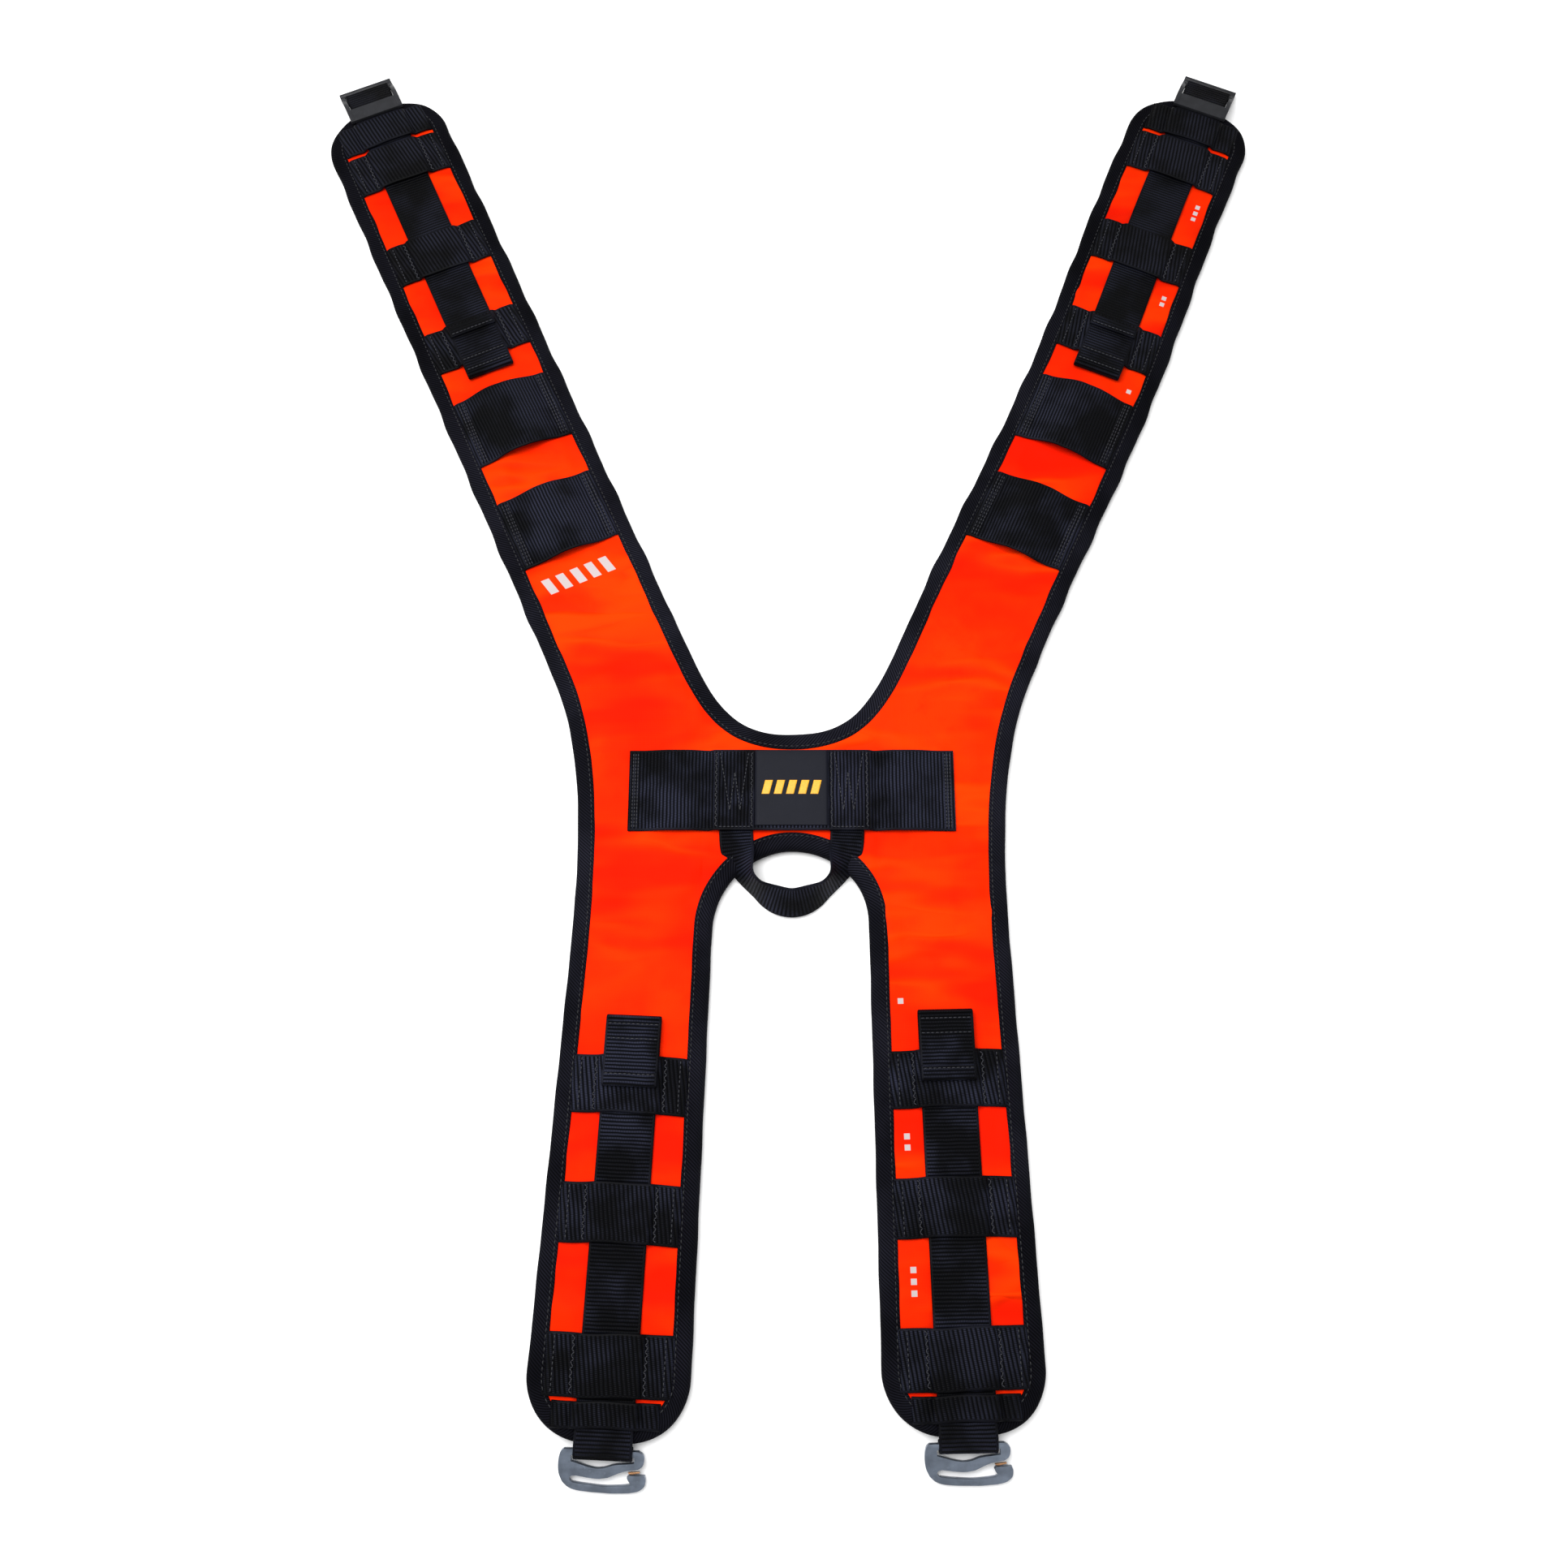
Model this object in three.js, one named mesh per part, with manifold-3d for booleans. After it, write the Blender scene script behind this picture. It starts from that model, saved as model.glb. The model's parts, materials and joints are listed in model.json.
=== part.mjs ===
// Padded H-shaped carrying harness, lying flat with its orange face up.
// Millimetres. +Z is up from the floor, +Y runs towards the two upper (front) arms.
// The origin is at the bottom centre of the whole object's box.
import * as THREE from 'three';
import { mergeVertices } from 'three/addons/utils/BufferGeometryUtils.js';
import Module from 'manifold-3d';

const wasm = await Module();
wasm.setup();

// ---------------------------------------------------------------- driving dimensions
const gap = 0.3; // clearance between sewn layers

// The bound pad.
const padHeight = 9.5; // bound pad, floor to face
const tapeThick = 1; // edge binding tape
const bindingWidth = 10.5; // binding seen on the face
const faceThick = 1; // laminated face fabric
const flexHalf = 8; // half length of the soft stretch where an arm folds

// Webbing.
const webThick = 1.5;
const strapWidth = 31; // adjusting straps
const bandWidth = 32; // narrow cross bands
const wideBandWidth = 50; // accessory bands and the chest band
const haulWidth = 20; // haul loop webbing
const endBandCover = 0.7; // share of the binding's width that an end band leaves showing
const tabLength = 40; // folded end of an adjusting strap
const hemLength = 7; // double layer at the end of a tab
const tabHingeGap = 1; // from a tab's fold line to the webbing on each side
const foldRadius = webThick + gap; // middle of the webbing where a strap turns back on itself

// The yoke.
const neckY = 31.6; // lowest point of the neck edge
const crotchY = -41; // highest point of the lower edge
const chestY = -5.2; // centre line of the chest band
const chestHalf = 96.5; // half length of the chest band
const labelWidth = 43.5;
const labelHeight = 46.5;
const labelThick = 0.6;

// The haul loop.
const haulLegX = 32.7; // centre of a leg
const haulReachY = -73.1; // furthest point of the loop's centre line
const haulMiddleZ = 9.5;
const haulLean = 65; // degrees that the middle of the loop stands up

// Arms: lengths run from the fold line to the tip.
const upperArm = {
  length: 438, rootHalf: 41.5, endHalf: 41.5, tipRadius: 32, rootLead: 14,
  // Cross bands: distance of the centre line from the fold line.
  wideBands: [85.5, 165.5],
  narrowBands: [231, 305],
  // Measured back from the tip: the last narrow band, and both edges of the end band.
  lastBand: 53,
  endBand: [34, 11],
  strapFold: 205.6, // where the strap turns back over the first narrow band
  barBeyondTip: 16, // from the pad's tip to the bar that the strap loops round
  barHeight: 6,
};
const lowerArm = {
  length: 264, rootHalf: 40.5, endHalf: 43.5, tipRadius: 32, rootLead: 12,
  wideBands: [],
  narrowBands: [80, 149],
  lastBand: 38,
  endBand: [20.5, 7],
  strapFold: 44.2,
  barBeyondTip: 4.4,
  barHeight: 6.5,
};

// How each arm lies: fold line centre, and the lean away from the long axis in degrees.
const arms = [
  { name: 'upper_left', side: -1, up: 1, foldX: -112.5, foldY: 96, lean: 24.03, size: upperArm },
  { name: 'upper_right', side: 1, up: 1, foldX: 113.5, foldY: 96, lean: 23.4, size: upperArm },
  { name: 'lower_left', side: -1, up: -1, foldX: -86.9, foldY: -97, lean: 2.5, size: lowerArm },
  { name: 'lower_right', side: 1, up: -1, foldX: 85.3, foldY: -93.5, lean: 1.3, size: lowerArm },
];

// Hardware.
const barClear = 0.3; // round the bar inside a strap's loop
const lockBarRadius = 2;
const lockRailWidth = 2.8;
const lockRailThick = 2.6;
const lockOuterReach = 7; // from the middle bar to the outer bar
const lockOuterDrop = 2.6;
const lockOuterRadius = 2.3;
const lockInnerBar = { near: 15.5, far: 25.5, thick: 2.2 };
const railClear = 0.4; // beside the strap
const hookWidth = strapWidth + 14.8;
const hookThick = 2.8;
const hookBar = 3; // width of the bar that the strap loops round
const hookReach = 21.4;

// Levels worked out from the layers.
const webMid = padHeight + gap + webThick / 2; // webbing lying on the face
const webStep = webThick + gap; // one more layer of webbing
const tabMid = webMid + 2 * foldRadius;
const hookLoop = Math.hypot(hookBar, hookThick) / 2 + barClear + webThick / 2;
const lockLoop = lockBarRadius + barClear + webThick / 2;

// ---------------------------------------------------------------- materials
const finishes = {
  orange: { color: 0xff3d08, roughness: 0.75, metalness: 0 },
  padding: { color: 0x2a2a2e, roughness: 0.95, metalness: 0 },
  binding: { color: 0x141519, roughness: 0.85, metalness: 0 },
  webbing: { color: 0x17191f, roughness: 0.7, metalness: 0 },
  label: { color: 0x10131c, roughness: 0.5, metalness: 0 },
  lock: { color: 0x3a3c40, roughness: 0.45, metalness: 0.3 },
  hook: { color: 0x5f6b78, roughness: 0.35, metalness: 1 },
  keeper: { color: 0x8a5a34, roughness: 0.4, metalness: 1 },
};

const harness = new THREE.Group();

function addPart(name, shape, finish, parent = harness) {
  const geometry = shape.isBufferGeometry ? shape : toGeometry(shape);
  geometry.computeVertexNormals();
  const mesh = new THREE.Mesh(geometry, new THREE.MeshStandardMaterial(finishes[finish]));
  mesh.name = name;
  parent.add(mesh);
  return mesh;
}

// ---------------------------------------------------------------- solids and booleans
function toSolid(geometry) {
  const bare = geometry.clone();
  bare.deleteAttribute('normal');
  bare.deleteAttribute('uv');
  const merged = mergeVertices(bare, 1e-4);
  const vertProperties = new Float32Array(merged.attributes.position.array);
  const triVerts = new Uint32Array(merged.index.array);
  return new wasm.Manifold(new wasm.Mesh({ numProp: 3, vertProperties, triVerts }));
}

function toGeometry(solid) {
  const mesh = solid.getMesh();
  const geometry = new THREE.BufferGeometry();
  geometry.setAttribute('position', new THREE.BufferAttribute(new Float32Array(mesh.vertProperties), 3));
  geometry.setIndex(new THREE.BufferAttribute(new Uint32Array(mesh.triVerts), 1));
  return geometry;
}

function boxBetween(low, high) {
  const size = high.map((value, i) => value - low[i]);
  const box = new THREE.BoxGeometry(...size);
  box.translate(...low.map((value, i) => value + size[i] / 2));
  return box;
}

// Extrudes an outline, with holes if any, from one height to another.
function slab(points, bottom, top, holes = []) {
  const shape = new THREE.Shape(points);
  shape.holes = holes.map((hole) => new THREE.Path(hole));
  const body = new THREE.ExtrudeGeometry(shape, { depth: top - bottom, bevelEnabled: false });
  body.translate(0, 0, bottom);
  return body;
}

// ---------------------------------------------------------------- arm frames
// An arm's own frame: x across, y out along the arm from the fold line, z up.
function armMatrix(arm) {
  const turn = arm.up > 0 ? -arm.side * arm.lean : 180 + arm.side * arm.lean;
  const matrix = new THREE.Matrix4().makeRotationZ(THREE.MathUtils.degToRad(turn));
  return matrix.setPosition(arm.foldX, arm.foldY, 0);
}

function halfWidthAt(size, along) {
  const share = THREE.MathUtils.clamp(along / (size.length - size.tipRadius), 0, 1);
  return THREE.MathUtils.lerp(size.rootHalf, size.endHalf, share);
}

// Outline of an arm in its own frame, from one root corner round the tip to the other.
function armEdge(size) {
  const points = [];
  const cornerY = size.length - size.tipRadius;
  const cornerX = size.endHalf - size.tipRadius;
  const steps = 9;
  points.push(new THREE.Vector2(halfWidthAt(size, -size.rootLead), -size.rootLead));
  points.push(new THREE.Vector2(halfWidthAt(size, 0), 0));
  for (let i = 0; i <= steps; i++) {
    const angle = (Math.PI / 2) * (i / steps);
    const x = cornerX + size.tipRadius * Math.cos(angle);
    points.push(new THREE.Vector2(x, cornerY + size.tipRadius * Math.sin(angle)));
  }
  const mirrored = points.map((p) => new THREE.Vector2(-p.x, p.y)).reverse();
  return points.concat(mirrored);
}

function placed(points, arm) {
  const matrix = armMatrix(arm);
  return points.map((p) => {
    const v = new THREE.Vector3(p.x, p.y, 0).applyMatrix4(matrix);
    return new THREE.Vector2(v.x, v.y);
  });
}

// The straight line that continues an arm's edge back towards the yoke.
function rootDirection(arm) {
  const v = new THREE.Vector3(0, -1, 0).transformDirection(armMatrix(arm));
  return new THREE.Vector2(v.x, v.y);
}

// A cubic curve that leaves one edge and runs into another, without its end points.
function blendCurve(start, startWay, startPull, end, endWay, endPull, steps) {
  const curve = new THREE.CubicBezierCurve(
    start,
    start.clone().addScaledVector(startWay, startPull),
    end.clone().addScaledVector(endWay, endPull),
    end,
  );
  return curve.getPoints(steps).slice(1, -1);
}

// The pad's outline, anticlockwise.
function padOutline() {
  const [upperLeft, upperRight, lowerLeft, lowerRight] = arms;
  const neck = new THREE.Vector2(0, neckY);
  const crotch = new THREE.Vector2(0, crotchY);
  // Each arm's edge, as it is met going clockwise from the neck.
  const edges = {
    upperRight: placed(armEdge(upperRight.size), upperRight).reverse(),
    lowerRight: placed(armEdge(lowerRight.size), lowerRight).reverse(),
    lowerLeft: placed(armEdge(lowerLeft.size), lowerLeft).reverse(),
    upperLeft: placed(armEdge(upperLeft.size), upperLeft).reverse(),
  };
  const right = new THREE.Vector2(1, 0);
  const left = new THREE.Vector2(-1, 0);
  const neckPull = [38, 52];
  const crotchPull = [26, 22];
  const waistPull = [45, 55];
  const steps = 10;
  // Curves between the middle of the yoke and an arm's root corner, and from arm to arm.
  const toArm = (from, way, pulls, edge, arm) =>
    blendCurve(from, way, pulls[0], edge[0], rootDirection(arm), pulls[1], steps);
  const fromArm = (edge, arm, pulls, to, way) =>
    blendCurve(edge.at(-1), rootDirection(arm), pulls[1], to, way, pulls[0], steps);
  const outline = [
    neck,
    ...toArm(neck, right, neckPull, edges.upperRight, upperRight),
    ...edges.upperRight,
    ...blendCurve(edges.upperRight.at(-1), rootDirection(upperRight), waistPull[0],
      edges.lowerRight[0], rootDirection(lowerRight), waistPull[1], steps),
    ...edges.lowerRight,
    ...fromArm(edges.lowerRight, lowerRight, crotchPull, crotch, right),
    crotch,
    ...toArm(crotch, left, crotchPull, edges.lowerLeft, lowerLeft),
    ...edges.lowerLeft,
    ...blendCurve(edges.lowerLeft.at(-1), rootDirection(lowerLeft), waistPull[1],
      edges.upperLeft[0], rootDirection(upperLeft), waistPull[0], steps),
    ...edges.upperLeft,
    ...fromArm(edges.upperLeft, upperLeft, neckPull, neck, left),
  ];
  return outline.reverse();
}

// Moves every corner of an anticlockwise outline inwards by the same distance from both edges.
function insetOutline(outline, distance) {
  const count = outline.length;
  return outline.map((point, i) => {
    const before = point.clone().sub(outline[(i + count - 1) % count]).normalize();
    const after = outline[(i + 1) % count].clone().sub(point).normalize();
    const inBefore = new THREE.Vector2(-before.y, before.x);
    const inAfter = new THREE.Vector2(-after.y, after.x);
    const stretch = distance / (1 + inBefore.dot(inAfter));
    return point.clone().addScaledVector(inBefore.add(inAfter), stretch);
  });
}

// ---------------------------------------------------------------- padded layers
const outline = padOutline();

function layer(inset, bottom, top) {
  return toSolid(slab(insetOutline(outline, inset), bottom, top));
}

// A box over one arm between two distances from its fold line.
function armZone(arm, from, to) {
  const half = Math.max(arm.size.rootHalf, arm.size.endHalf) + bindingWidth;
  const box = boxBetween([-half, from, -padHeight], [half, to, 3 * padHeight]);
  return toSolid(box.applyMatrix4(armMatrix(arm)));
}

function pastTip(arm) {
  return arm.size.length + bindingWidth;
}

function yokePartOf(solid) {
  return arms.reduce((rest, arm) => rest.subtract(armZone(arm, -flexHalf, pastTip(arm))), solid);
}

const bindingShell = layer(0, 0, padHeight)
  .subtract(layer(bindingWidth, -1, padHeight + 1))
  .subtract(layer(tapeThick, tapeThick, padHeight - tapeThick));
const paddingEdge = layer(tapeThick + gap, tapeThick + gap, padHeight - faceThick - gap);
const paddingMiddle = layer(bindingWidth + gap, 0, padHeight - faceThick - gap);
const padding = paddingEdge.add(paddingMiddle);
const face = layer(bindingWidth + gap, padHeight - faceThick, padHeight);
const wholePad = layer(0, 0, padHeight);

function buildPad() {
  addPart('yoke_face', yokePartOf(face), 'orange');
  addPart('yoke_padding', yokePartOf(padding), 'padding');
  // The yoke's binding runs in four lengths between the folds.
  const splitX = (Math.abs(arms[1].foldX) + Math.abs(arms[3].foldX)) / 2;
  const far = upperArm.length;
  const ring = yokePartOf(bindingShell);
  const lengths = {
    binding_neck: boxBetween([-splitX, chestY, -1], [splitX, far, 20]),
    binding_crotch: boxBetween([-splitX, -far, -1], [splitX, chestY, 20]),
    binding_waist_left: boxBetween([-far, -far, -1], [-splitX, far, 20]),
    binding_waist_right: boxBetween([splitX, -far, -1], [far, far, 20]),
  };
  for (const [name, box] of Object.entries(lengths)) {
    addPart(name, ring.intersect(toSolid(box)), 'binding');
  }
  for (const arm of arms) {
    const zone = armZone(arm, flexHalf, pastTip(arm));
    const flex = armZone(arm, -flexHalf + gap, flexHalf - gap);
    addPart(`arm_face_${arm.name}`, face.intersect(zone), 'orange');
    addPart(`arm_padding_${arm.name}`, padding.intersect(zone), 'padding');
    addPart(`arm_binding_${arm.name}`, bindingShell.intersect(zone), 'binding');
    addPart(`arm_flex_${arm.name}`, wholePad.intersect(flex), 'padding');
  }
}

// ---------------------------------------------------------------- webbing
// Webbing is a box bent along stations: each has a point, the way across and the way up.
function webbing(stations, width, thick = webThick) {
  const last = stations.length - 1;
  const box = new THREE.BoxGeometry(last, width, thick, last, 1, 1);
  const position = box.attributes.position;
  for (let i = 0; i < position.count; i++) {
    const station = stations[Math.round(position.getX(i) + last / 2)];
    const v = station.point.clone();
    v.addScaledVector(station.across, position.getY(i));
    v.addScaledVector(station.up, position.getZ(i));
    position.setXYZ(i, v.x, v.y, v.z);
  }
  return box;
}

// Stations for webbing that runs across an arm or the yoke, along x, with a height for each x.
function crossStations(xs, heightAt, y) {
  const across = new THREE.Vector3(0, 1, 0);
  const reach = 0.2;
  return xs.map((x) => {
    const slope = (heightAt(x + reach) - heightAt(x - reach)) / (2 * reach);
    const up = new THREE.Vector3(-slope, 0, 1).normalize();
    return { point: new THREE.Vector3(x, y, heightAt(x)), across, up };
  });
}

// Height of a band that lies on the face and steps up over something in the middle.
function steppedHeight(rise, flatHalf, rampLength) {
  return (x) => {
    const share = 1 - THREE.MathUtils.smoothstep(Math.abs(x), flatHalf, flatHalf + rampLength);
    return webMid + rise * share;
  };
}

function symmetricRange(flatHalf, rampLength, end) {
  const half = [0, flatHalf];
  const rampSteps = 5;
  for (let i = 1; i <= rampSteps; i++) half.push(flatHalf + (rampLength * i) / rampSteps);
  half.push(end);
  return [...half.slice(1).map((x) => -x).reverse(), ...half];
}

function bandEnd(size, along) {
  return halfWidthAt(size, along) - bindingWidth - gap;
}

function narrowBand(size, along, width) {
  const flatHalf = strapWidth / 2 + 1.2;
  const ramp = 5;
  const xs = symmetricRange(flatHalf, ramp, bandEnd(size, along));
  return webbing(crossStations(xs, steppedHeight(webStep, flatHalf, ramp), along), width);
}

function wideBand(size, along) {
  const flatHalf = 4;
  const ramp = 22;
  const rise = 4.8;
  const xs = symmetricRange(flatHalf, ramp, bandEnd(size, along));
  return webbing(crossStations(xs, steppedHeight(rise, flatHalf, ramp), along), wideBandWidth);
}

// The last band at a tip, trimmed to the rounded edge.
function endBand(arm) {
  const [from, to] = arm.size.endBand.map((back) => arm.size.length - back);
  const band = toSolid(narrowBand(arm.size, (from + to) / 2, to - from).applyMatrix4(armMatrix(arm)));
  const trim = toSolid(slab(insetOutline(outline, bindingWidth * endBandCover), padHeight, 3 * padHeight));
  return toGeometry(band.intersect(trim)).applyMatrix4(armMatrix(arm).invert());
}

// Stations for webbing that runs along an arm, from points (distance along, height).
function alongStations(points) {
  const across = new THREE.Vector3(-1, 0, 0);
  return points.map((p, i) => {
    const before = points[Math.max(i - 1, 0)];
    const after = points[Math.min(i + 1, points.length - 1)];
    const way = after.clone().sub(before).normalize();
    const up = new THREE.Vector3(0, -way.y, way.x);
    return { point: new THREE.Vector3(0, p.x, p.y), across, up };
  });
}

function arcPoints(centre, radius, fromDegrees, toDegrees, steps) {
  const points = [];
  for (let i = 0; i <= steps; i++) {
    const angle = THREE.MathUtils.degToRad(THREE.MathUtils.lerp(fromDegrees, toDegrees, i / steps));
    const x = centre.x + radius * Math.cos(angle);
    points.push(new THREE.Vector2(x, centre.y + radius * Math.sin(angle)));
  }
  return points;
}

function barCentre(size) {
  return new THREE.Vector2(size.length + size.barBeyondTip, size.barHeight);
}

// An adjusting strap: a turned-back end, the run under the bands, and the eye round the bar.
function strap(size, loopRadius) {
  const turn = new THREE.Vector2(size.strapFold, webMid + foldRadius);
  const points = arcPoints(turn, foldRadius, 90, 270, 8);
  const bar = barCentre(size);
  const dropStart = size.length;
  const dropEnd = bar.x - 0.4;
  const dropSteps = 5;
  points.push(new THREE.Vector2((turn.x + dropStart) / 2, webMid));
  for (let i = 0; i < dropSteps; i++) {
    const share = THREE.MathUtils.smoothstep(i, 0, dropSteps);
    const height = THREE.MathUtils.lerp(webMid, bar.y + loopRadius, share);
    points.push(new THREE.Vector2(THREE.MathUtils.lerp(dropStart, dropEnd, i / dropSteps), height));
  }
  points.push(...arcPoints(bar, loopRadius, 90, -155, 14));
  return webbing(alongStations(points), strapWidth);
}

// The folded-back end of a strap, lying over the first narrow band, with a doubled hem.
function tab(size) {
  const start = size.strapFold + 2 * tabHingeGap;
  const end = size.strapFold - foldRadius - webThick / 2 + tabLength;
  const hemRadius = (webThick + gap) / 2;
  const turn = new THREE.Vector2(end - hemRadius - webThick / 2, tabMid + hemRadius);
  const points = [
    new THREE.Vector2(start, tabMid),
    ...arcPoints(turn, hemRadius, -90, 90, 6),
    new THREE.Vector2(turn.x - hemLength, tabMid + 2 * hemRadius),
  ];
  return webbing(alongStations(points), strapWidth);
}

// ---------------------------------------------------------------- hardware
function shapePoints(draw) {
  const path = new THREE.Path();
  draw(path);
  const points = path.getPoints(4);
  // Drops points that repeat the one before.
  return points.filter((p, i) => p.distanceTo(points[(i + 1) % points.length]) > 0.05);
}

// Points of the hook's plate, drawn for a plate 45.8 wide and stretched to the hook's width.
const hookScale = hookWidth / 45.8;
const knots = (pairs) => pairs.map(([x, y]) => new THREE.Vector2(x * hookScale, y));

// Flat hook plate: x across from its closed side, y out from the strap bar's edge.
function hookPlate() {
  const [firstCorner, secondCorner] = knots([[2.6, 0], [41.6, 0]]);
  const [hookEnd, hookEndCorner] = knots([[37.2, 12], [45.2, 12.1]]);
  const rim = shapePoints((path) => {
    path.moveTo(firstCorner.x, firstCorner.y);
    path.lineTo(secondCorner.x, secondCorner.y);
    path.splineThru(knots([[44.2, 1.8], [44.6, 4.7], [43.6, 7.4], [41.4, 8.9]]));
    // Under the middle bar, which dips near the closed side.
    path.splineThru(knots([[37, 9.6], [33, 10.6], [29.4, 12.1], [26, 13.6]]));
    path.splineThru(knots([[21, 14.3], [15, 13.9], [9.3, 13.1]]));
    path.splineThru(knots([[7, 13.5], [6.1, 15], [7.4, 16.6]]));
    path.splineThru(knots([[15, 17.5], [24.3, 18.1], [32.4, 17.6], [36.6, 17.1]]));
    path.splineThru(knots([[37.8, 16.2], [36.7, 14.6], [36, 13.1]]));
    // The upturned end.
    path.lineTo(hookEnd.x, hookEnd.y);
    path.lineTo(hookEndCorner.x, hookEndCorner.y);
    path.splineThru(knots([[45.8, 14.4], [45.1, 17.4], [42, 19.8], [37.2, 20.9]]));
    path.splineThru(knots([[27.3, hookReach], [12, 20.7], [5.8, 19.1], [2.3, 16.2]]));
    path.splineThru(knots([[0.4, 11.9], [0, 6.4], [0.8, 1.8], [2.6, 0]]));
  });
  const slotSide = (hookWidth - strapWidth) / 2 - 1;
  const slot = shapePoints((path) => {
    path.moveTo(slotSide, hookBar);
    path.lineTo(hookWidth - slotSide, hookBar);
    path.lineTo(hookWidth - slotSide, 6);
    path.splineThru(knots([[33.4, 6.6], [28.6, 7.3], [24.3, 8.7], [20, 9.2], [15, 8.4], [10.1, 7]]));
    path.lineTo(slotSide, 6);
  });
  const plate = slab(rim, -hookThick / 2, hookThick / 2, [slot.reverse()]);
  return plate;
}

// The hook's tilt, so that its far edge comes down to the floor.
function hookTilt() {
  const fall = lowerArm.barHeight - hookThick / 2 - gap;
  return Math.asin(fall / (hookReach - hookBar / 2));
}

function hookGroup(size) {
  const group = new THREE.Group();
  const bar = barCentre(size);
  group.position.set(0, bar.x, bar.y);
  group.rotation.x = -hookTilt();
  return group;
}

// The plate's x runs from the closed side, which is at +x in the arm's frame.
function hookPlaced(geometry) {
  const flip = new THREE.Matrix4().makeRotationY(Math.PI);
  return geometry.applyMatrix4(flip).translate(hookWidth / 2, -hookBar / 2, 0);
}

// Spring leaf that keeps the hook's mouth closed.
function keeperLeaf() {
  const leaf = { root: 36.3 * hookScale, end: 42.6 * hookScale, mouth: [10.35, 11.6], wide: 1.8 };
  const start = new THREE.Vector2(leaf.root, leaf.mouth[0] + 0.5);
  const shape = [
    start,
    new THREE.Vector2(leaf.end, leaf.mouth[0] - 0.1),
    new THREE.Vector2(leaf.end, leaf.mouth[0] + 0.5),
    new THREE.Vector2(leaf.root + 2.4, leaf.mouth[1]),
    new THREE.Vector2(leaf.root + 0.9, leaf.mouth[1]),
  ];
  return slab(shape, -leaf.wide / 2, leaf.wide / 2);
}

// Slide at the end of an upper arm, in the arm's frame.
function ladderLock(size) {
  const bar = barCentre(size);
  const railX = strapWidth / 2 + railClear + lockRailWidth / 2;
  const half = railX + lockRailWidth / 2;
  const innerMid = webMid + webThick / 2 + 1.5 * gap + lockInnerBar.thick / 2;
  const railLine = new THREE.SplineCurve([
    new THREE.Vector2(bar.x + lockOuterReach, bar.y - lockOuterDrop),
    new THREE.Vector2(bar.x, bar.y),
    new THREE.Vector2(bar.x - 7.5, innerMid - 2.2),
    new THREE.Vector2(bar.x - lockInnerBar.near - 1, innerMid),
    new THREE.Vector2(bar.x - lockInnerBar.far + 1, innerMid),
  ]);
  const stations = alongStations(railLine.getPoints(16).reverse());
  const rail = webbing(stations, lockRailWidth, lockRailThick);
  const middle = new THREE.CylinderGeometry(lockBarRadius, lockBarRadius, 2 * railX, 20);
  middle.rotateZ(Math.PI / 2).translate(0, bar.x, bar.y);
  const outer = new THREE.CylinderGeometry(lockOuterRadius, lockOuterRadius, 2 * half, 20);
  outer.rotateZ(Math.PI / 2).translate(0, bar.x + lockOuterReach, bar.y - lockOuterDrop);
  const inner = boxBetween(
    [-half, bar.x - lockInnerBar.far, innerMid - lockInnerBar.thick / 2],
    [half, bar.x - lockInnerBar.near, innerMid + lockInnerBar.thick / 2],
  );
  return [rail.clone().translate(railX, 0, 0), rail.translate(-railX, 0, 0), middle, outer, inner]
    .map(toSolid)
    .reduce((all, piece) => all.add(piece));
}

// ---------------------------------------------------------------- the yoke's webbing
function chestHeight() {
  const flatHalf = haulLegX + haulWidth / 2 + 2;
  return { flatHalf, ramp: 5, rise: webStep };
}

function chestBand() {
  const { flatHalf, ramp, rise } = chestHeight();
  const xs = symmetricRange(flatHalf, ramp, chestHalf);
  return webbing(crossStations(xs, steppedHeight(rise, flatHalf, ramp), chestY), wideBandWidth);
}

function label() {
  const middle = webMid + webStep + webThick / 2 + gap + labelThick / 2;
  const low = [-labelWidth / 2, chestY + 1 - labelHeight / 2, middle - labelThick / 2];
  const high = [labelWidth / 2, chestY + 1 + labelHeight / 2, middle + labelThick / 2];
  return boxBetween(low, high);
}

// The haul loop leaves the chest band flat, then turns onto its edge at its furthest reach.
function haulLoop() {
  const rootY = chestY - wideBandWidth / 2 - 2.2;
  const half = [
    new THREE.Vector3(haulLegX, rootY, webMid),
    new THREE.Vector3(haulLegX - 0.3, rootY - 8, webMid),
    new THREE.Vector3(haulLegX - 2.2, rootY - 17, webMid + 0.5),
    new THREE.Vector3(haulLegX - 8.2, rootY - 28, webMid + 0.9),
    new THREE.Vector3(haulLegX - 18.5, haulReachY + 4.6, haulMiddleZ + 0.4),
  ];
  const middle = new THREE.Vector3(0, haulReachY, haulMiddleZ);
  const mirrored = half.map((p) => new THREE.Vector3(-p.x, p.y, p.z)).reverse();
  const curve = new THREE.CatmullRomCurve3([...half, middle, ...mirrored]);
  const steps = 40;
  const stations = [];
  for (let i = 0; i <= steps; i++) {
    const point = curve.getPoint(i / steps);
    const way = curve.getTangent(i / steps);
    const outward = new THREE.Vector3(-way.y, way.x, 0).normalize();
    const past = THREE.MathUtils.smoothstep(rootY - point.y, 23, rootY - haulReachY);
    const lean = THREE.MathUtils.degToRad(haulLean * past);
    const across = outward.multiplyScalar(Math.cos(lean)).add(new THREE.Vector3(0, 0, -Math.sin(lean)));
    const up = new THREE.Vector3().crossVectors(way, across).normalize();
    stations.push({ point, across, up });
  }
  return webbing(stations, haulWidth);
}

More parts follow.
